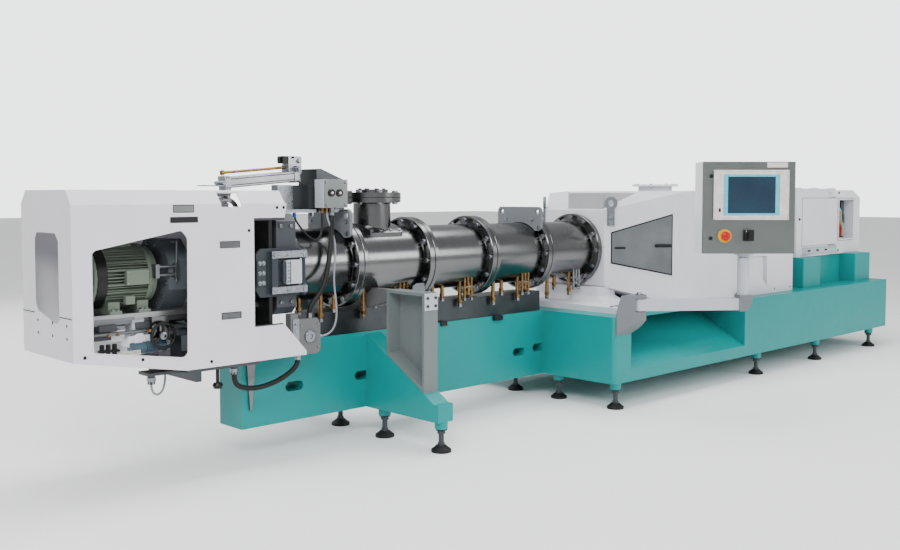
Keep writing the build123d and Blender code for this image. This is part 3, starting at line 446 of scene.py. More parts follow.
def fastener_tree():
    """Sets one screw on every point, along the point's axis and at its size."""
    tree = bpy.data.node_groups.new("set_fasteners", "GeometryNodeTree")
    sockets = (
        ("Points", "INPUT", "Geometry"), ("Screw", "INPUT", "Object"), ("Finish", "INPUT", "Material"),
        ("Head Scale", "INPUT", "Float"), ("Geometry", "OUTPUT", "Geometry"),
    )
    for name, way, kind in sockets:
        tree.interface.new_socket(name=name, in_out=way, socket_type="NodeSocket" + kind)

    def add(kind, inputs, **options):
        return add_node(tree, kind, inputs, **options)

    given = add("NodeGroupInput", {})
    screw = add("GeometryNodeObjectInfo", {"Object": given["Screw"]})
    axis = add("GeometryNodeInputNamedAttribute", {"Name": "axis"}, data_type="FLOAT_VECTOR")
    size = add("GeometryNodeInputNamedAttribute", {"Name": "size"})
    grow = add("ShaderNodeMath", {0: size["Attribute"], 1: given["Head Scale"]}, operation="MULTIPLY")
    turn = add("FunctionNodeAlignRotationToVector", {"Vector": axis["Attribute"]}, axis="Z")
    placed = add("GeometryNodeInstanceOnPoints", {
        "Points": given["Points"], "Instance": screw["Geometry"],
        "Rotation": turn["Rotation"], "Scale": grow["Value"],
    })
    real = add("GeometryNodeRealizeInstances", {"Geometry": placed["Instances"]})
    coat = add("GeometryNodeSetMaterial", {"Geometry": real["Geometry"], "Material": given["Finish"]})
    add("NodeGroupOutput", {"Geometry": coat["Geometry"]})
    return tree


def applied(carrier, tree, values):
    """The mesh that a node tree makes on an object; values are given by the inputs' names."""
    modifier = carrier.modifiers.new("layout", "NODES")
    modifier.node_group = tree
    for item in tree.interface.items_tree:
        if item.in_out == "INPUT" and item.name in values:
            modifier[item.identifier] = values[item.name]
    bpy.context.view_layer.update()
    data = evaluated(carrier)
    carrier.modifiers.clear()
    bpy.data.objects.remove(carrier)
    return data


def evaluated(thing):
    """An object as a plain mesh, with its modifiers or its curve worked out."""
    depsgraph = bpy.context.evaluated_depsgraph_get()
    return bpy.data.meshes.new_from_object(thing.evaluated_get(depsgraph), depsgraph=depsgraph)


def fasteners(name, kind, places, finish="zinc", body="frame"):
    """One mesh of like screws; places holds (point, axis, head radius) in machine millimetres."""
    if not TREES:
        TREES["fasteners"] = fastener_tree()
    if kind not in TEMPLATES:
        TEMPLATES[kind] = screw_template(kind)
    data = bpy.data.meshes.new(name)
    data.from_pydata([at(*point) for point, axis, size in places], [], [])
    data.attributes.new("axis", "FLOAT_VECTOR", "POINT")
    data.attributes.new("size", "FLOAT", "POINT")
    for i, (point, axis, size) in enumerate(places):
        data.attributes["axis"].data[i].vector = axis
        data.attributes["size"].data[i].value = size * MM
    scale = bpy.context.scene.extruder_fasteners.head_scale
    values = {"Screw": TEMPLATES[kind], "Finish": FINISH[finish], "Head Scale": scale}
    return dress(applied(linked(name + "_points", data), TREES["fasteners"], values), name, finish, body)


# Settings shown in the sidebar


def colour_setting(name, description, default):
    return FloatVectorProperty(name=name, description=description, subtype="COLOR", default=default)


def length_setting(name, description, default):
    return FloatProperty(name=name, description=description, default=default, unit="LENGTH")


class StudioSettings(bpy.types.PropertyGroup):
    lens: FloatProperty(name="Lens", description="Focal length", default=39.54, min=10, unit="CAMERA")
    floor: colour_setting("Floor", "Colour of the floor and backdrop", (0.86, 0.86, 0.86))
    key: FloatProperty(name="Key light", description="Power of the large light", default=560, subtype="POWER")


class ColourSettings(bpy.types.PropertyGroup):
    base: colour_setting("Base", "Paint of base, beam and outriggers", rgb(0, 128, 127))
    casting: colour_setting("Casting", "Paint of gearbox and motor", rgb(206, 206, 212))
    guard: colour_setting("Guard", "Paint of the cutter's guard", rgb(208, 207, 213))


class FastenerSettings(bpy.types.PropertyGroup):
    head_scale: FloatProperty(name="Head scale", description="Size of every screw head", default=1.0, min=0.1)
    flange_bolts: IntProperty(name="Flange bolts", description="Bolts round each flange", default=12, min=4)
    bolt_circle: length_setting("Bolt circle", "Radius of the flange bolts", 0.228)


class HoseSettings(bpy.types.PropertyGroup):
    hose: length_setting("Hose", "Diameter of the hoses", 0.026)
    cable: length_setting("Cable", "Diameter of the cables", 0.011)


# Studio

EYE = (-5138, -4508, 1380)
HEADING = 0.7685
DIP = -0.0545
LENS_SHIFT = -0.0278
SENSOR = 36
SEEN_RANGE = (0.1, 100)
FLOOR_REACH = 60.0
AIR = (0.97, 0.985, 1.0, 1)
AIR_LIGHT, AIR_SEEN = 0.62, 3.2
OVERCAST_POWER, OVERCAST_SPREAD = 1.1, 1.5
# Place, target, size in metres and share of the key light's power
LAMPS = {
    "key": ((-6500, -5200, 5200), (-1200, 0, 700), (4.5, 2.2), 1.0),
    "fill": ((3500, -7500, 3200), (1500, 0, 900), (5.0, 2.5), 0.55),
    "top": ((0, 0, 6000), (0, 0, 0), (7.0, 2.0), 0.6),
    "rear": ((-2000, 7500, 4200), (0, 0, 900), (6.0, 2.5), 0.5),
}


def aim(thing, place, direction):
    """Puts a camera or lamp at a place of the machine, turned along a direction."""
    thing.location = at(*place)
    thing.rotation_mode = "QUATERNION"
    thing.rotation_quaternion = direction.to_track_quat("-Z", "Y")


class EXTRUDER_OT_studio(bpy.types.Operator):
    """Pale floor, soft light and the camera"""

    bl_idname = "extruder.studio"
    bl_label = "Studio"

    def execute(self, context):
        settings = context.scene.extruder_studio
        data = bpy.data.cameras.new("camera")
        data.sensor_width = SENSOR
        data.lens = settings.lens
        data.shift_y = LENS_SHIFT
        data.clip_start, data.clip_end = SEEN_RANGE
        look = Vector((math.sin(HEADING) * math.cos(DIP), math.cos(HEADING) * math.cos(DIP), math.sin(DIP)))
        context.scene.camera = linked("camera", data)
        aim(context.scene.camera, EYE, look)
        floor = bpy.data.meshes.new("floor")
        corners = [(x * FLOOR_REACH, y * FLOOR_REACH, 0) for x, y in ((-1, -1), (1, -1), (1, 1), (-1, 1))]
        floor.from_pydata(corners, [], [(0, 1, 2, 3)])
        paint = Recipe("floor", tuple(settings.floor), 0.75).vary(0.6, 0.01).rough((2, 2, 2), 0.03)
        floor.materials.append(paint.material)
        linked("floor", floor)
        world = bpy.data.worlds.new("studio")
        context.scene.world = world
        world.use_nodes = True
        seen = add_node(world.node_tree, "ShaderNodeLightPath", {})["Is Camera Ray"]
        inputs = {"Value": seen, "To Min": AIR_LIGHT, "To Max": AIR_SEEN}
        level = add_node(world.node_tree, "ShaderNodeMapRange", inputs)["Result"]
        feed(world.node_tree, world.node_tree.nodes["Background"], {"Color": AIR, "Strength": level})
        overcast = bpy.data.lights.new("overcast", "SUN")
        overcast.energy, overcast.angle = OVERCAST_POWER, OVERCAST_SPREAD
        linked("overcast", overcast)
        for name, (place, target, size, share) in LAMPS.items():
            light = bpy.data.lights.new(name, "AREA")
            light.shape = "RECTANGLE"
            light.size, light.size_y = size
            light.energy = settings.key * share
            aim(linked(name, light), place, at(*target) - at(*place))
        return {"FINISHED"}


# Barrel

POCKET_TURN = 22.0
POCKET_DEEP = 27
POCKET_LOW = 206
POCKET_HIGH = 243
PLUG_R = 217
BARREL_SIDES = 96


def pocket_face(form, x_face, inward, count):
    """A flange's bolting face: pockets with a straight inner edge between the bolt bosses."""
    pitch = 360 / count
    boss = pitch - POCKET_TURN
    half = POCKET_TURN / 2
    columns = []
    for k in range(count):
        centre = k * pitch
        columns += [(centre - boss / 2, False), (centre, False)]
        columns += [(centre + boss / 2 + POCKET_TURN * step / 4, True) for step in range(4)]

    def patch(*corners):
        points = []
        for angle, radius, x in corners:
            a = math.radians(angle)
            points.append(form.point((x, radius * math.cos(a), AXIS_Z + radius * math.sin(a))))
        form.mesh.faces.new(points)

    def inner(angle):
        off = abs(angle - (math.floor((angle - boss / 2) / pitch) + 0.5) * pitch)
        if off > half:
            return POCKET_LOW
        return POCKET_LOW * math.cos(math.radians(half)) / math.cos(math.radians(off))

    total = len(columns)
    for i, (angle, pocket) in enumerate(columns):
        after = columns[(i + 1) % total][0] + (360 if i + 1 == total else 0)
        levels = [(TUBE_R - 6,) * 2, (inner(angle), inner(after)), (POCKET_HIGH,) * 2, (FLANGE_R - 2,) * 2]
        for band, ((a0, a1), (b0, b1)) in enumerate(zip(levels, levels[1:])):
            deep = x_face + inward * POCKET_DEEP if pocket and band == 1 else x_face
            patch((angle, a0, deep), (after, a1, deep), (after, b1, deep), (angle, b0, deep))
            if deep == x_face:
                continue
            edges = [((angle, a0), (after, a1)), ((angle, b0), (after, b1))]
            if not columns[i - 1][1]:
                edges.append(((angle, a0), (angle, b0)))
            if not columns[(i + 1) % total][1]:
                edges.append(((after, a1), (after, b1)))
            for p, q in edges:
                patch((*p, x_face), (*q, x_face), (*q, deep), (*p, deep))


class EXTRUDER_OT_barrel(bpy.types.Operator):
    """Barrel sections with pocketed flanges, and their bolts"""

    bl_idname = "extruder.barrel"
    bl_label = "Barrel"

    def execute(self, context):
        settings = context.scene.extruder_fasteners
        count = settings.flange_bolts
        bolts, plugs = [], []
        for number in range(1, SECTION_COUNT + 1):
            right = GEAR_FACE - (number - 1) * SECTION_L
            left = max(right - SECTION_L, DIE_RIGHT)
            face, length = right - FLANGE_T, right - left
            form = Form()
            pocket_face(form, face, 1, count)
            form.turned((left, 0, AXIS_Z), X_AXIS, [
                (0, 0), (FLANGE_R - 8, 0), (FLANGE_R - 7, 3), (FLANGE_R - 1, 3), (FLANGE_R, 4),
                (FLANGE_R, FLANGE_T - 12), (FLANGE_R - 2, FLANGE_T - 10), (FLANGE_R - 13, FLANGE_T - 9),
                (FLANGE_R - 14, FLANGE_T), (TUBE_R + 24, FLANGE_T), (TUBE_R + 23, FLANGE_T + 16),
                (TUBE_R + 10, FLANGE_T + 17), (TUBE_R + 9, FLANGE_T + 30), (TUBE_R, FLANGE_T + 31),
                (TUBE_R, length - FLANGE_T),
            ], BARREL_SIDES)
            form.turned((left, 0, AXIS_Z), X_AXIS, [
                (FLANGE_R - 2, length - FLANGE_T), (FLANGE_R, length - FLANGE_T + 2), (FLANGE_R, length - 5),
                (FLANGE_R - 7, length - 4), (FLANGE_R - 8, length), (0, length),
            ], BARREL_SIDES)
            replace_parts(form.done(f"barrel_shell_{number}", "stainless"), f"barrel_section_{number}")
            ring, between = circle(count, settings.bolt_circle / MM), circle(count, PLUG_R, 180 / count)
            bolts += [((face, y, AXIS_Z + z), -X_AXIS, 13) for y, z in ring]
            plugs += [((left + FLANGE_T + 16, y, AXIS_Z + z), X_AXIS, 7) for y, z in between]
        fasteners("flange_bolts", "socket", bolts)
        fasteners("flange_plugs", "button", plugs, "stainless")
        return {"FINISHED"}


# Hoses and cables, on the same routes as their solids: size, finish, stiffness and places

ROUTES = {
    "steam_hose": ("hose", "black_rubber", "stiff", [
        (-1835, -155, 1316), (-1835, -155, 1262), (-1856, -184, 1205), (-1884, -216, 1142),
        (-1910, -238, 1070), (-1934, -250, 990), (-1960, -254, 910), (-1992, -248, 852),
        (-2030, -239, 812), (-2046, -235, 772), (-2046, -235, 734),
    ]),
    "drain_hose": ("hose", "black_rubber", "stiff", [
        (-2120, -235, 546), (-2120, -235, 508), (-2148, -235, 472), (-2205, -234, 440),
        (-2280, -232, 414), (-2360, -230, 402), (-2430, -230, 408), (-2484, -230, 426),
        (-2505, -230, 456), (-2505, -230, 489),
    ]),
    "sensor_cable": ("cable", "grey_rubber", "medium", [
        (-1868, -155, 1316), (-1868, -155, 1272), (-1860, -178, 1215), (-1852, -206, 1140),
        (-1862, -226, 1065), (-1882, -238, 988), (-1888, -244, 905), (-1878, -246, 825),
        (-1870, -244, 752), (-1874, -240, 696), (-1894, -237, 654), (-1936, -235, 630),
        (-1991, -235, 630),
    ]),
    "loop_cable": ("cable", "black_rubber", "medium", [
        (-2050, -112, 1290), (-2050, -112, 1262), (-2044, -146, 1222), (-2026, -180, 1178),
        (-1994, -202, 1144), (-1952, -202, 1150), (-1922, -186, 1192), (-1904, -164, 1238),
        (-1895, -150, 1280), (-1895, -150, 1316),
    ]),
    "tray_cable": ("cable", "grey_rubber", "medium", [
        (-2925, -180, 489), (-2925, -180, 466), (-2913, -176, 442), (-2888, -170, 430),
        (-2862, -162, 440), (-2844, -152, 468), (-2835, -146, 502), (-2835, -146, 535),
    ]),
}
CORD_STEPS = 12
CORD_ROUNDNESS = 5


def cord_length(data):
    """Length of a curve's own line, read while the curve has no thickness."""
    holder = linked("measure", data)
    places = [v.co.copy() for v in evaluated(holder).vertices]
    bpy.data.objects.remove(holder)
    return sum((b - a).length for a, b in zip(places, places[1:]))


class EXTRUDER_OT_hoses(bpy.types.Operator):
    """Hoses and cables at the outlet"""

    bl_idname = "extruder.hoses"
    bl_label = "Hoses"

    def execute(self, context):
        for name, (size, finish, stiffness, places) in ROUTES.items():
            diameter = getattr(context.scene.extruder_hoses, size)
            data = bpy.data.curves.new(name + "_line", "CURVE")
            data.dimensions = "3D"
            spline = data.splines.new("NURBS")
            spline.points.add(len(places) - 1)
            for point, place in zip(spline.points, places):
                point.co = (*at(*place), 1)
            spline.order_u = 3
            spline.use_endpoint_u = True
            data.resolution_u = CORD_STEPS
            length = cord_length(data)
            data.bevel_depth = diameter / 2
            data.bevel_resolution = CORD_ROUNDNESS
            data.materials.append(FINISH[finish])
            line = linked(name + "_line", data)
            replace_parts(line, name)
            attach(line, "frame")
        return {"FINISHED"}


def bolted(face, points, size):
    """Fastener places at points of a face, standing on it."""
    outward = (face.to_3x3() @ Z_AXIS).normalized()
    return [(tuple(face @ Vector(p)), outward, size) for p in points]


def framed(form, low, high, width, thick, z=0.0):
    """A flat rim round a rectangle, standing on a face."""
    (x0, y0), (x1, y1) = low, high
    return form.boxes(
        ((x0, y0, z), (x1, y0 + width, z + thick)), ((x0, y1 - width, z), (x1, y1, z + thick)),
        ((x0, y0 + width, z), (x0 + width, y1 - width, z + thick)),
        ((x1 - width, y0 + width, z), (x1, y1 - width, z + thick)),
    )


def side_face(y):
    """Upright face towards the operator: X along the machine, Y the height."""
    return upright(Vector((0, y, 0)), X_AXIS, OPERATOR)


# Guard

GUARD_FACE = side_face(-HOOD_HALF_W)
WINDOW = (
    (-3251, 695), (-3247, 682), (-3234, 677), (-2822, 614), (-2800, 614), (-2786, 628), (-2784, 648),
    (-2779, 1172), (-2783, 1186), (-2800, 1208), (-2813, 1219), (-2830, 1217), (-3236, 1141), (-3251, 1126),
)
LOUVRE = (112, 34)
LOUVRE_CORNERS = ((-2606, 1126), (-2602, 776))
SLATS, SLAT_PITCH = 5, 5
GUARD_SCREWS = ((-3289, 667), (-3016, 628), (-2660, 578), (-2441, 1209), (-2274, 1322), (-2234, 1322))
REAR_SCREWS = 3
END_SCREWS = [(y, z) for y in (-216, -60, 104) for z in (748, 806)]
END_SCREW_X = -3337
TRAY_GLANDS = ((-2925, -180), (-2505, -230))


class EXTRUDER_OT_guard(bpy.types.Operator):
    """Rims, louvres, bare plates, screws and the catch of the cutter's guard"""

    bl_idname = "extruder.guard"
    bl_label = "Guard"

    def execute(self, context):
        places = [(x, -HOOD_HALF_W, z) for x, z in WINDOW]
        rim = Form().rods(*((a, b, 3.5, 8) for a, b in zip(places, places[1:] + places[:1])))
        rim.done("window_rim", "guard_white")
        Form(GUARD_FACE).boxes(
            ((-2424, 722, -14), (-2406, 1276, -6)), ((-2424, 1258, -14), (-2226, 1276, -6)),
            ((-2424, 716, -14), (-2236, 728, -6)),
        ).done("opening_rim", "dark_grey", 1)
        slats = Form(GUARD_FACE)
        wide, high = LOUVRE
        for x, z in LOUVRE_CORNERS:
            framed(slats, (x, z), (x + wide, z + high), 4, 2)
            left, right = x + 4, x + wide - 4
            for foot in (z + 6 + SLAT_PITCH * step for step in range(SLATS)):
                slat = [(left, foot, 0), (right, foot, 0), (right, foot, 3), (left, foot, 3)]
                slats.prism(slat, (0, 0, 0), (0, 3, -1))
        slats.done("guard_louvres", "plate_steel")
        plates = Form(GUARD_FACE).box((-2869, 1254, 0), (-2724, 1282, 2))
        framed(plates, (-2853, 1302), (-2744, 1339), 3, 2.4).done("dark_plates", "black_plastic", 0.5)
        Form(GUARD_FACE).box((-2851, 1304, 0), (-2746, 1337, 2)).done("bare_plate", "cabinet_grey", 0.5)
        spots = [(x, z, 0) for x, z in GUARD_SCREWS]
        screws = bolted(GUARD_FACE, spots, 8) + bolted(side_face(HOOD_HALF_W), spots[:REAR_SCREWS], 8)
        screws += [((END_SCREW_X, y, z), -X_AXIS, 9) for y, z in END_SCREWS]
        fasteners("guard_screws", "button", screws, "black_steel")
        Form().turned(
            (-2540, -226, 1294), Y_AXIS, [(60, 0), (82, 0), (82, 10), (60, 10), (60, 0)], 48,
        ).rod((-2540, -262, 1374), (-2540, -214, 1374), 8).done("roof_catch", "sheet_steel", 1)
        Form().box((-2590, -214, 1296), (-2552, -190, 1378)).done("catch_block", "guard_white", 3)
        Form().boxes(
            ((-3342, -274, 838), (-3339, -144, 842)), ((-3342, 140, 838), (-3339, 274, 842)),
        ).done("end_seams", "dark_grey")
        Form().rod((-2590, -215, 535), (-2590, -215, 452), 9, 12, 2).turned(
            (-2590, -215, 452), -Z_AXIS, [(0, -6), (20, -4), (26, 8), (20, 24), (0, 28)], 20,
        ).done("tray_knob", "black_plastic")
        nuts, gland = Form(), [(0, 0), (15, 0), (18, 4), (18, 12), (21, 14), (21, 30), (16, 31)]
        for x, y in TRAY_GLANDS:
            nuts.turned((x, y, 489), Z_AXIS, gland, 16)
        nuts.done("tray_glands", "zinc")
        return {"FINISHED"}


# Cutter

MOTOR_FEET = (-3078, -2935)
MOTOR_RIBS = 60
RIB_FOOT, RIB_TIP = 126, 150
WHEEL_FACE = side_face(-190) @ Matrix.Translation((-2868, 716, 0))


class EXTRUDER_OT_cutter(bpy.types.Operator):
    """Motor cowl, slide, lever and gear below the cutter"""

    bl_idname = "extruder.cutter"
    bl_label = "Cutter"

    def execute(self, context):
        self.motor()
        self.slide()
        rim = [(60 + x, y) for x, y in circle(12, 8) + circle(1, 8)]
        Form(WHEEL_FACE, "handwheel").turned((0, 0, 6), Z_AXIS, rim, 48).done("wheel_rim", "black_plastic")
        hub = [(12, 0), (19, 0), (19, 14), (14, 16), (14, 18), (9, 19)]
        Form(WHEEL_FACE, "handwheel").turned((0, 0, 0), Z_AXIS, hub, 32).done("wheel_hub", "zinc")
        return {"FINISHED"}

    def motor(self):
        """Cowl, ribs, shield and boxes of the cutter motor, and the lever on its hub."""
        Form().turned((-3186, 0, AXIS_Z), X_AXIS, [
            (0, 6), (40, 6), (42, 0), (118, 2), (140, 10), (152, 24), (153, 70), (149, 70), (149, 60),
        ], 64).done("motor_cowl", "black_plastic")
        Form().turned((-2900, 0, AXIS_Z), X_AXIS, [
            (148, -12), (150, -10), (150, 6), (142, 8), (139, 34), (120, 41), (70, 52), (52, 74), (26, 76),
        ], 48).done("motor_shield", "motor_green_grey")
        ribs = Form()
        middle = Vector((-3116, 0, AXIS_Z))
        for y, z in circle(MOTOR_RIBS, 1):
            out, side = Vector((0, y, z)), Vector((0, -z, y)) * 1.5
            foot, tip = middle + out * RIB_FOOT, middle + out * RIB_TIP
            ribs.prism([foot - side, tip - side, tip + side, foot + side], (0, 0, 0), (212, 0, 0))
        ribs.done("motor_ribs", "motor_green_grey")
        Form().boxes(
            ((-3032, -168, 964), (-2920, -138, 1034)), ((-3030, -150, 872), (-2984, -120, 912)),
            ((-3072, -60, AXIS_Z + 172), (-2948, 60, AXIS_Z + 184)),
            *(((x - 30, -150, 830), (x + 30, -112, 846)) for x in MOTOR_FEET),
        ).done("motor_boxes", "motor_green_grey", 2)
        bolts = [((x + off, -138, 846), Z_AXIS, 9) for x in MOTOR_FEET for off in (-12, 12)]
        bolts += [((x, -168, z), OPERATOR, 3) for x in (-3026, -2926) for z in (972, 1026)]
        bolts += [((-2894, y, AXIS_Z + z), X_AXIS, 6) for y, z in circle(6, 143, 30)]
        bolts += [((-2822, y, AXIS_Z + z), -X_AXIS, 8) for y, z in circle(12, 148, 15)]
        fasteners("cutter_bolts", "hex", bolts)
        Form().turned((-2700, 0, AXIS_Z), X_AXIS, [
            (0, 0), (120, 0), (118, 12), (70, 14), (68, 60), (48, 62), (46, 110), (0, 112),
        ], 48).done("hub_collar", "sheet_steel")
        Form().rods(
            ((-2786, -178, 966), (-2782, -178, 1166), 5, 12, 1),
            *(((-2884, -178, z), (-2784, -178, z), 7, 16, 1) for z in (1044, 1004)),
            ((-2784, -178, 1160), (-2812, -178, 1160), 4, 12),
        ).boxes(
            ((-2796, -190, 986), (-2776, -150, 1060)), ((-2896, -186, 990), (-2876, -120, 1056)),
        ).done("cutter_lever", "sheet_steel", 1)

    def slide(self):
        """Rails, carriages, gear, fittings and plugs under the cutter motor."""
        Form().boxes(
            *(((-3190, y - 14, 780), (-2312, y + 14, 806)) for y in (-118, 118)),
            ((-3198, -152, 798), (-2990, -148, 812)),
        ).rods(
            ((-3190, -40, 770), (-2312, -40, 770), 12, 20, 2),
            ((-3190, -150, 742), (-2600, -150, 742), 8, 16, 1),
        ).done("slide_rails", "sheet_steel", 1)
        spots = [(x, y) for x in (-3160, -2980, -2700, -2480) for y in (-118, 118)]
        Form().boxes(
            *(((x, y - 26, 752), (x + 86, y + 26, 784)) for x, y in spots),
            ((-3186, -140, 712), (-3100, 140, 752)), ((-2760, -140, 700), (-2700, 140, 752)),
            ((-2760, -60, TRAY_TOP), (-2700, 60, 700)),
        ).done("slide_carriages", "dark_grey", 2)
        gear = Form().turned((-3008, -145, 664), X_AXIS, [
            (0, -8), (22, -8), (27, -2), (27, 50), (31, 54), (31, 66), (26, 68), (26, 150), (31, 152),
            (31, 170), (22, 176), (22, 196), (0, 198),
        ], 32)
        for step in range(6):
            gear.turned((-2938 + step * 12, -145, 664), X_AXIS, [(26, 0), (30, 1), (30, 5), (26, 6)], 32)
        gear.done("slide_motor", "blue_grey")
        Form().box((-3020, -148, 668), (-2908, -60, 722)).turned(
            (-2965, -148, 700), OPERATOR, [(34, -10), (34, 2), (30, 8), (0, 8)], 32,
        ).box((-3094, -120, 700), (-3020, -60, 752)).done("slide_gear_case", "motor_grey", 5)
        brass = Form()
        for x, z in ((-3120, 738), (-3076, 738), (-2920, 742), (-2890, 736)):
            brass.rods(((x, -158, z), (x, -128, z), 9, 6), ((x, -166, z), (x, -158, z), 6, 12))
        brass.done("slide_fittings", "brass")
        plugs = Form().box((-3190, -222, 668), (-3098, -188, 678))
        for x in (-3178, -3148, -3118):
            plugs.rod((x, -205, 640), (x + 2, -205, 704), 11, 12, 2)
            plugs.rod((x, -205, 628), (x, -205, 642), 14, 12, 2)
        plugs.done("cable_plugs", "black_rubber")
        teeth = (((x, -216, 650), (x + 5, -204, 664)) for x in range(-3098, -2988, 11))
        Form().boxes(((-3100, -216, 642), (-2992, -204, 650)), *teeth).done("terminal_strip", "bezel", 0.6)


# Outlet

CYLINDER_TILT = math.radians(5.13)
CYLINDER_ALONG = Vector((math.cos(CYLINDER_TILT), 0, math.sin(CYLINDER_TILT)))
CYLINDER_FACE = upright(Vector((-2423, 0, 1448)), CYLINDER_ALONG, OPERATOR)
JUNCTION_PORTS = (-1871, -1817)
CLAMP_FACE = side_face(-290)
CLAMP_BARS = (899, 1081)
POCKET_FLOOR = -22
DIE_FRONT = -235


class EXTRUDER_OT_outlet(bpy.types.Operator):
    """Air cylinder, valves, junction box, clamp and lock block"""

    bl_idname = "extruder.outlet"
    bl_label = "Outlet"

    def execute(self, context):
        self.cylinder()
        self.junction()
        self.clamp()
        stay = [(-2360, -107, 508), (-2308, -107, 508), (-2330, -107, 262), (-2342, -107, 262)]
        Form().prism(stay, (0, 0, 0), (0, -12, 0)).done("beam_stay", "sheet_steel", 1)
        return {"FINISHED"}

    def cylinder(self):
        """Air cylinder with its pipe, valves and coil."""
        Form(CYLINDER_FACE).boxes(
            *(((36, y, 29), (434, y + 5, 30.6)) for y in (-18, 14)), ((34, -30.5, -28), (37, 30.5, 30.8)),
        ).done("cylinder_grooves", "dark_grey")
        caps = bolted(CYLINDER_FACE, [(x, y, 35) for x in (12, 24, 446, 460) for y in (-25, 25)], 5)
        ends = [CYLINDER_FACE @ Vector((470, y, z)) for y in (-24, 24) for z in (-24, 24)]
        caps += [(tuple(end), CYLINDER_ALONG, 6) for end in ends]
        fasteners("cylinder_screws", "socket", caps)
        Form(CYLINDER_FACE).rod((14, 52, 0), (432, 52, 0), 7.5, 20).turned(
            (-2, 52, 0), X_AXIS, [(0, 0), (10, 0), (14, 3), (14, 16), (10, 20), (7, 20)], 20,
        ).done("cylinder_pipe", "brass")
        Form().box((-2030, -34, 1512), (-1992, 34, 1552)).rods(
            ((-1985, -60, 1530), (-1985, 0, 1530), 16, 6),
            ((-1985, -76, 1530), (-1985, -58, 1530), 11, 16, 2),
            ((-1960, -44, 1572), (-1960, 0, 1572), 13, 20, 2),
            ((-2034, -12, 1530), (-2000, -12, 1530), 12, 6),
            ((-2432, -44, 1448), (-2432, 44, 1448), 12, 20, 2),
        ).box((-2544, -40, 1430), (-2427, 40, 1436)).done("valve_fittings", "zinc", 1.5)
        Form().boxes(
            ((-2062, -26, 1556), (-2020, 26, 1597)), ((-2074, -12, 1562), (-2060, 12, 1590)),
        ).rod((-2000, -40, 1590), (-2000, -10, 1590), 6, 12).done("valve_coil", "black_plastic", 2)

    def junction(self):
        """Front of the junction box, its ports, glands and plugs."""
        Form(side_face(-200)).box((-1917, 1318, 0), (-1759, 1468, 4)).done(
            "junction_front", "cabinet_grey", 1.5)
        face = side_face(-204)
        spots = [(x, z, 0) for x in (-1903, -1773) for z in (1332, 1454)]
        fasteners("junction_screws", "socket", bolted(face, spots, 7))
        ports, pins = Form(face), Form(face)
        for x in JUNCTION_PORTS:
            ports.turned((x, 1397, 0), Z_AXIS, [(20, 0), (20, 8), (17, 10), (10, 10), (10, 4), (0, 4)], 24)
            pins.turned((x, 1397, 3), Z_AXIS, [(7, 0), (7, 9), (5, 11), (0, 11)], 16)
        ports.done("junction_ports", "black_plastic")
        pins.done("junction_pins", "bezel")
        brass = Form()
        for x, y in ((-1895, -150), (-1868, -155)):
            brass.rods(((x, y, 1302), (x, y, 1317), 11, 6), ((x, y, 1288), (x, y, 1302), 8, 16, 1))
        brass.done("cable_glands", "brass")
        Form().rods(
            ((-1835, -155, 1296), (-1835, -155, 1317), 19, 6),
            ((-1835, -155, 1272), (-1835, -155, 1296), 16, 24, 2),
            ((-2046, -235, 730), (-2046, -235, 762), 17, 6),
            ((-2120, -235, 520), (-2120, -235, 548), 18, 6),
            ((-1996, -235, 630), (-1968, -235, 630), 10, 6),
        ).done("hose_fittings", "zinc")
        Form().rod((-2050, -112, 1266), (-2050, -112, 1291), 10, 20, 2).done("blue_plug", "blue")

    def clamp(self):
        """Bars, pockets and bolts of the swing clamp, the lock block and the die block."""
        bars, pivots = Form(CLAMP_FACE), Form()
        for z in CLAMP_BARS:
            bars.box((-2314, z - 18, -10), (-2096, z + 18, 3))
            pivots.rod((-2110, -276, z - 24), (-2110, -276, z + 24), 16, 24, 2)
        bars.done("clamp_bars", "zinc", 2)
        spots = [(x, z, 3) for x in (-2296, -2214, -2116) for z in CLAMP_BARS]
        spots += [(x, z, POCKET_FLOOR) for x in (-2372, -2350) for z in (940, 990, 1040)]
        fasteners("clamp_bolts", "hex", bolted(CLAMP_FACE, spots, 9))
        Form(CLAMP_FACE).boxes(
            ((-2198, 928, -30), (-2130, 1052, 2)), ((-2226, 928, -30), (-2206, 1052, 6)),
        ).done("clamp_block", "arm_grey", 2)
        teeth = (((-2224, z, 6), (-2208, z + 12, 9)) for z in range(936, 1050, 19))
        Form(CLAMP_FACE).boxes(*teeth).done("clamp_ribs", "zinc", 0.8)
        Form(CLAMP_FACE).boxes(
            ((-2388, 922, -28), (-2334, 1058, POCKET_FLOOR)),
            ((-2326, 926, -30), (-2230, 1054, POCKET_FLOOR)),
        ).done("clamp_pocket", "navy", 1)
        pivots.done("clamp_knuckles", "blue_grey")
        Form(side_face(-258)).turned(
            (-2060, 640, 0), Z_AXIS, [(34, 0), (34, 8), (28, 12), (14, 12), (12, 4), (0, 4)], 40,
        ).box((-2170, 570, 0), (-2130, 740, 5)).done("lock_bolt", "zinc", 1)
        screws = bolted(side_face(-263), [(-2150, 600, 0), (-2150, 710, 0)], 7)
        screws += bolted(side_face(-258), [(x, z, 0) for x in (-2112, -2008) for z in (580, 700)], 6)
        fasteners("lock_screws", "socket", screws)
        die = bolted(side_face(DIE_FRONT), [(x, z, 0) for x in (-2225, -2160) for z in (830, 1225)], 10)
        die += [((-2222, y, 1290), Z_AXIS, 9) for y in (-170, 110, 170)]
        die += [((-2253, y, AXIS_Z + z), -X_AXIS, 9) for y, z in circle(12, 212, 15)]
        fasteners("die_bolts", "socket", die, "sheet_steel")


# Feed port, pipes and lifting plates on the barrel

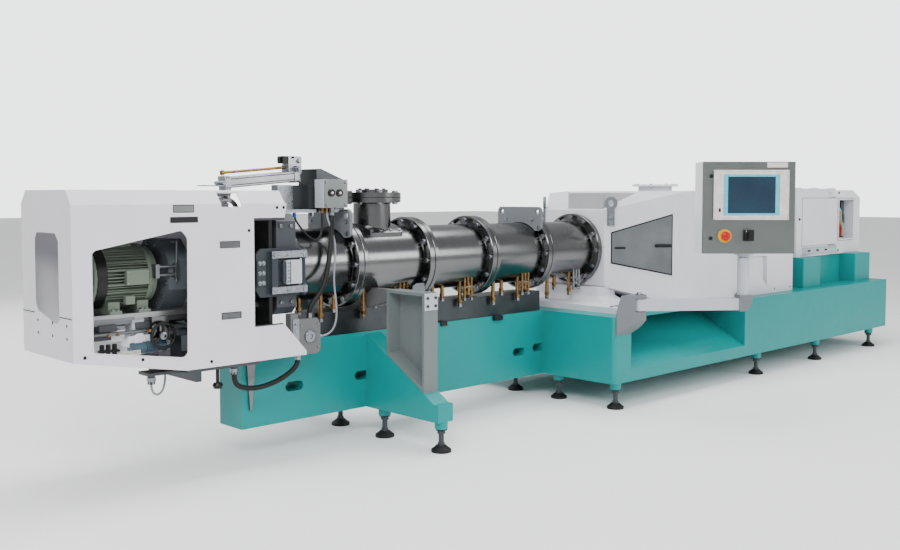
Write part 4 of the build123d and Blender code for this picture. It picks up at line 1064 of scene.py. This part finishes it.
FEED_X = -1420
FEED_TOP = 1372
FEED_PLATE = 29
FEED_PIPE_R = 109
FEED_BOLT_R = 147.5
STUD_R = 76
SADDLE_R = 220
SADDLE_BOLTS = ((-104, -124), (-104, 124), (-36, -124), (36, -124), (104, -124), (104, 124))
PIPE_STEPS = ((95, -120, 690), (205, -90, 742), (330, -120, 700), (440, -90, 742))
TRIO_START, TRIO_PITCH, TRIO_Y = 344, 30, -150


class EXTRUDER_OT_fittings(bpy.types.Operator):
    """Feed port, media pipes and lifting plates"""

    bl_idname = "extruder.fittings"
    bl_label = "Barrel fittings"

    def execute(self, context):
        self.feed()
        self.pipes()
        Form().prism([
            (-1292, -186, 760), (-1268, -186, 852), (-1240, -186, 866), (-1180, -186, 866),
            (-1176, -186, 744), (-1240, -186, 722),
        ], (0, 0, 0), (0, -12, 0)).done("pipe_bracket", "steel_paint", 2)
        Form().boxes(
            ((-500, -132, 572), (-424, -107, 604)), ((-968, -118, 578), (-914, -107, 608)),
        ).done("beam_clip", "black_plastic", 3)
        corners = {-128: ((172, 1172), (118, 1222)), -1739: ((172, 1172), (166, 1236))}
        spots = [(x, side * y, z) for x, rows in corners.items() for y, z in rows for side in (-1, 1)]
        fasteners("lifting_bolts", "hex", [(spot, -X_AXIS, 10) for spot in spots])
        return {"FINISHED"}

    def feed(self):
        """Bolts, seal and weld of the feed port."""
        bolts = []
        for x, y in circle(8, FEED_BOLT_R, 22.5):
            bolts.append(((FEED_X + x, y, FEED_TOP + FEED_PLATE), Z_AXIS, 14))
            bolts.append(((FEED_X + x, y, FEED_TOP - FEED_PLATE), -Z_AXIS, 14))
        for x, y in SADDLE_BOLTS:
            z = math.sqrt(SADDLE_R ** 2 - y ** 2)
            bolts.append(((FEED_X + x, y, AXIS_Z + z), Vector((0, y, z)).normalized(), 9))
        fasteners("feed_bolts", "hex", bolts)
        studs = [((FEED_X + x, y, FEED_TOP + 47), Z_AXIS, 7) for x, y in circle(8, STUD_R, 22.5)]
        fasteners("feed_studs", "socket", studs, "stainless")
        seal = [(120, 0), (170.6, 0), (170.6, 4), (120, 4)]
        Form().turned((FEED_X, 0, FEED_TOP - 2), Z_AXIS, seal, 64).done("feed_seal", "black_rubber")
        weld = [(FEED_PIPE_R, 0), (118, 0), (112, 7), (FEED_PIPE_R, 8)]
        Form().turned((FEED_X, 0, FEED_TOP - FEED_PLATE), -Z_AXIS, weld, 64).done("feed_weld", "stainless")

    def pipes(self):
        """Unions on the media pipes and a trio of small ones at each flange."""
        brass, steel, dark = Form(), Form(), Form()
        for number in range(SECTION_COUNT):
            left = GEAR_FACE - (number + 1) * SECTION_L
            last = number == SECTION_COUNT - 1
            for step, y, low in PIPE_STEPS[1 if last else 0:]:
                x = left + step
                top = AXIS_Z - math.sqrt(TUBE_R ** 2 - y ** 2) + 2
                brass.rod((x, y, low - 1), (x, y, top), 12.8, 16)
                brass.rod((x, y, low + 18), (x, y, low + 34), 18, 6)
                steel.rod((x, y, low - 12), (x, y, low + 6), 15, 6)
            if last:
                continue
            for k in range(3):
                x = left + TRIO_START + TRIO_PITCH * k
                low = 742 + 16 * (k % 2)
                tube = steel if number == 0 else brass
                tube.rod((x, TRIO_Y, low), (x, TRIO_Y, 872), 8, 12)
                tube.rod((x, TRIO_Y, low + 30), (x, TRIO_Y, low + 44), 12, 6)
                (dark if k == 1 else steel).rod((x, TRIO_Y, low - 16), (x, TRIO_Y, low + 4), 11, 12, 2)
            steel.rod((left + 352, TRIO_Y, 812), (left + 396, TRIO_Y, 812), 6, 12)
        brass.done("pipe_unions", "brass")
        steel.done("pipe_ends", "zinc")
        dark.done("pipe_caps", "black_plastic")


# Gearbox and drive motor

PANEL_RIM = ((22, 897), (22, 1133), (489, 1265), (489, 805))
PANEL_GASKET = ((31, 905), (31, 1126), (480, 1254), (480, 816))
VENT = (1478, 1470)
VENT_BOLT_R = 158
LIP_Y = 540
FLANK_Y = 568
MOTOR_FACE = side_face(-490)
WIRES = {"red_wire": ("signal", 0), "yellow_wire": ("yellow", 26), "pale_wire": ("cyan", 52)}


class EXTRUDER_OT_drive(bpy.types.Operator):
    """Access panels, lugs, vent and motor details"""

    bl_idname = "extruder.drive"
    bl_label = "Gearbox and motor"

    def execute(self, context):
        self.gearbox()
        self.motor()
        return {"FINISHED"}

    def gearbox(self):
        """Gaskets, grips and lugs on both flared sides, and the case's bolts."""
        gasket, rims, grips, lugs = Form(), Form(), Form(), []
        for face in (flare_face(-1), flare_face(1)):
            for form, outline, thick in ((gasket, PANEL_GASKET, 5), (rims, PANEL_RIM, 3)):
                form.place = face
                form.prism([(x, y, 0) for x, y in outline], (0, 0, -2), (0, 0, thick))
            grips.place = face
            grips.boxes(((350, 1018, 8), (466, 1040, 26)), ((58, 1008, 8), (134, 1022, 20)))
            lugs += bolted(face, [(24, 1240, 20), (24, 1192, 20)], 14)
        gasket.done("panel_gaskets", "black_rubber")
        rims.done("panel_rims", "casting_white")
        grips.done("panel_grips", "black_plastic", 4)
        fasteners("lug_bolts", "hex", lugs)
        vent = [((VENT[0] + x, y, VENT[1]), Z_AXIS, 8) for x, y in circle(8, VENT_BOLT_R, 22.5)]
        vent += [((x, y, 641), Z_AXIS, 13) for x in (200, 250, 640) for y in (-LIP_Y, LIP_Y)]
        fasteners("case_bolts", "hex", vent)
        spots = [(x, side, z) for side in (-1, 1) for x, z in ((2016, 661), (2118, 666))]
        dark = [((x, side * FLANK_Y, z), Vector((0, side, 0)), 12) for x, side, z in spots]
        dark += [((x, -CASE_HALF_W, 632), OPERATOR, 7) for x in (1200, 1700, 2300, 2560)]
        dark += bolted(side_face(-494), [(3652, 888, 4), (3652, 1410, 4), (2916, 1180, 0)], 12)
        fasteners("dark_screws", "button", dark, "black_steel")
        Form().box((469, -276, NOSE_SEAM), (473, 276, NOSE_SEAM + 4)).done("nose_seam", "dark_grey")

    def motor(self):
        """Covers, seams, foot channel and the open terminal box of the drive motor."""
        cover = Form(MOTOR_FACE).boxes(
            ((2970, 948, -16), (3626, 1360, 5)), ((2930, 1372, -10), (3640, 1398, 3)),
        )
        framed(cover, (3690, 976), (4012, 1359), 13, 8, -15).boxes(
            *(((x - 34, 1428, -70), (x + 34, 1452, -10)) for x in (2940, 3254, 3590)),
            ((3480, 862, -15), (4140, 930, -11)),
        ).done("motor_covers", "motor_grey", 5, 3)
        seams = framed(Form(MOTOR_FACE), (2967, 945), (3629, 1363), 3.5, 1.5)
        framed(seams, (3686, 972), (4016, 1363), 4, 1, -15).done("motor_seams", "dark_grey")
        Form(MOTOR_FACE).boxes(
            ((2976, 870, -12), (3636, 876, 10)), ((2976, 928, -12), (3636, 934, 10)),
            ((2976, 876, -8), (3636, 928, 1)),
        ).done("motor_foot", "arm_grey", 1)
        Form(MOTOR_FACE).boxes(
            *(((x, 894, 0), (x + 54, 910, 1.6)) for x in (3080, 3240, 3400)),
            ((3704, 994, -104), (3996, 1341, -102)),
        ).done("motor_slots", "black_plastic", 0.5)
        Form(MOTOR_FACE).boxes(
            *(((3730 + 60 * k, 1040 + 30 * k, -100), (3770 + 60 * k, 1120 + 30 * k, -70)) for k in range(4)),
            ((3900, 1180, -100), (3960, 1330, -80)),
        ).done("terminal_blocks", "dark_grey", 2)
        for name, (finish, shift) in WIRES.items():
            bends = [
                (3750, 1320, -64), (3790 + shift, 1240, -52), (3780 + shift, 1160, -48),
                (3850 + shift, 1080, -56), (3860 + shift, 1010, -66),
            ]
            wire = Form(MOTOR_FACE).rods(*((a, b, 5, 10, 1) for a, b in zip(bends, bends[1:])))
            wire.done(name, finish)


# Control panel

STOP = (-156, 114)
SWITCH = (-2, 117)
LOCK_X, LOCK_HEIGHTS = -244, (99, 497)


class EXTRUDER_OT_panel(bpy.types.Operator):
    """Screen, locks, stop button collar and switch handle"""

    bl_idname = "extruder.control_panel"
    bl_label = "Control panel"

    def execute(self, context):
        def face():
            return Form(CABINET_FACE, "cabinet")

        face().box((-167, 246, 10), (194, 508, 11.5)).done("screen_border", "cyan")
        face().box((-139, 260, 11), (165, 494, 12.5)).done("screen", "screen")
        framed(face(), (-229, 217), (253, 537), 7, 12).done("bezel_rim", "bezel", 2, 3)
        face().turned(
            (*STOP, 0), Z_AXIS, [(43.5, 0), (43.5, 11), (40, 14), (22, 14), (21, 12)], 40,
        ).done("stop_collar", "yellow")
        face().turned(
            (*STOP, 30), Z_AXIS, [(20, 0), (26, 3), (29, 9), (28, 15), (22, 19), (0, 21)], 32,
        ).done("stop_cap", "signal")
        dark = face()
        for y in LOCK_HEIGHTS:
            dark.turned((LOCK_X, y, 0), Z_AXIS, [(12, 0), (12, 6), (9, 8), (0, 7)], 24)
        dark.turned((-190, 276, 10), Z_AXIS, [(8, 0), (8, 3), (0, 3)], 20)
        dark.box((-196, 272, 10), (-184, 292, 12.6))
        dark.turned((*SWITCH, 14), Z_AXIS, [(31, 0), (31, 8), (27, 10)], 32)
        handle = ((-12, 86, 40), (8, 86, 40), (12, 96, 40), (12, 150, 40), (-16, 150, 40), (-16, 96, 40))
        dark.prism(handle, (0, 0, -6), (0, 0, 14)).done("panel_buttons", "black_plastic", 1)
        marks = (((x, 140, 14), (x + 6, 148, 15)) for x in (-22, -4, 14))
        face().boxes(*marks).done("switch_marks", "bezel")
        face().box((113, 553, 0), (244, 585, 2)).done("cabinet_plate", "bezel", 0.6)
        screws = bolted(CABINET_FACE, [(x, y, 12) for x in (-222, 246) for y in (224, 530)], 3)
        fasteners("bezel_screws", "button", screws, body="cabinet")
        ring = [((POST.x + x, POST.y + y, CABINET_BOTTOM - 8), -Z_AXIS, 5) for x, y in circle(4, 54, 45)]
        fasteners("coupling_screws", "socket", ring, body="cabinet")
        Form().turned(
            (PIVOT.x, PIVOT.y, 730), Z_AXIS, [(30, 12), (30, 16), (20, 18), (18, 26), (0, 26)], 24,
        ).done("pivot_cap", "zinc")
        return {"FINISHED"}


# Feet and support frames

FOOT_X = (65, 1879, 2868, 3933)
FOOT_Y = 675
BEAM_FEET = (-200, 200)
OUTRIGGER_X = -1501
OUTRIGGER_FEET = (-678, -207, 207, 678)
FRAME_END = 597
SLEEVE_Z = 124
THREAD_Z = 34


class EXTRUDER_OT_feet(bpy.types.Operator):
    """Sleeves, threads and nuts of the levelling feet; plates of the support frames"""

    bl_idname = "extruder.feet"
    bl_label = "Feet and frames"

    def execute(self, context):
        places = [(x, y) for x in FOOT_X for y in (-FOOT_Y, FOOT_Y)]
        places += [(FOOT_X[0], y) for y in BEAM_FEET] + [(OUTRIGGER_X, y) for y in OUTRIGGER_FEET]
        sleeves, threads, pads = Form(), Form(), Form()
        for x, y in places:
            sleeves.turned((x, y, SLEEVE_Z), Z_AXIS, [(0, 0), (32, 0), (36, 4), (36, 43)], 24)
            threads.rod((x, y, THREAD_Z), (x, y, SLEEVE_Z), 15, 16)
            threads.rod((x, y, 100), (x, y, 122), 25, 6).rod((x, y, THREAD_Z), (x, y, 50), 22, 6)
            pads.turned((x, y, 0), Z_AXIS, [(54.5, 0), (55, 14), (52, 17), (38, 26), (28, 36), (0, 37)], 32)
        sleeves.done("foot_sleeves", "machine_teal")
        threads.done("foot_threads", "dark_grey")
        pads.done("foot_pads", "black_rubber")
        plates, screws = Form(), []
        for side in (-1, 1):
            near, far = sorted((side * FRAME_END, side * (FRAME_END + 4)))
            plates.box((-1549, near, 760), (-1453, far, 853))
            out = Vector((0, side, 0))
            screws += [((x, side * (FRAME_END + 4), z), out, 8) for x in (-1530, -1472) for z in (784, 828)]
        plates.done("frame_plates", "arm_grey", 1)
        fasteners("frame_screws", "socket", screws, "dark_grey")
        return {"FINISHED"}


# Sidebar

SETTINGS = {
    "extruder_studio": StudioSettings,
    "extruder_colours": ColourSettings,
    "extruder_fasteners": FastenerSettings,
    "extruder_hoses": HoseSettings,
}
OPERATORS = (
    EXTRUDER_OT_studio, EXTRUDER_OT_finishes, EXTRUDER_OT_hoses, EXTRUDER_OT_barrel, EXTRUDER_OT_guard,
    EXTRUDER_OT_cutter, EXTRUDER_OT_outlet, EXTRUDER_OT_fittings, EXTRUDER_OT_drive, EXTRUDER_OT_panel,
    EXTRUDER_OT_feet,
)


class EXTRUDER_PT_panel(bpy.types.Panel):
    """The dressing's steps"""

    bl_idname = "EXTRUDER_PT_panel"
    bl_label = "Food extruder"
    bl_space_type = "VIEW_3D"
    bl_region_type = "UI"
    bl_category = "Extruder"

    def draw(self, context):
        for attribute in SETTINGS:
            settings = getattr(context.scene, attribute)
            box = self.layout.box()
            for name in settings.__annotations__:
                box.prop(settings, name)
        for operator in OPERATORS:
            self.layout.operator(operator.bl_idname)


def register():
    for attribute, group in SETTINGS.items():
        bpy.utils.register_class(group)
        setattr(bpy.types.Scene, attribute, PointerProperty(type=group))
    for shown in (*OPERATORS, EXTRUDER_PT_panel):
        bpy.utils.register_class(shown)


def unregister():
    for shown in (EXTRUDER_PT_panel, *reversed(OPERATORS)):
        bpy.utils.unregister_class(shown)
    for attribute, group in SETTINGS.items():
        delattr(bpy.types.Scene, attribute)
        bpy.utils.unregister_class(group)


def main():
    register()
    for operator in OPERATORS:
        group, step = operator.bl_idname.split(".")
        getattr(getattr(bpy.ops, group), step)()
    for template in TEMPLATES.values():
        bpy.data.objects.remove(template)


if __name__ == "__main__":
    main()
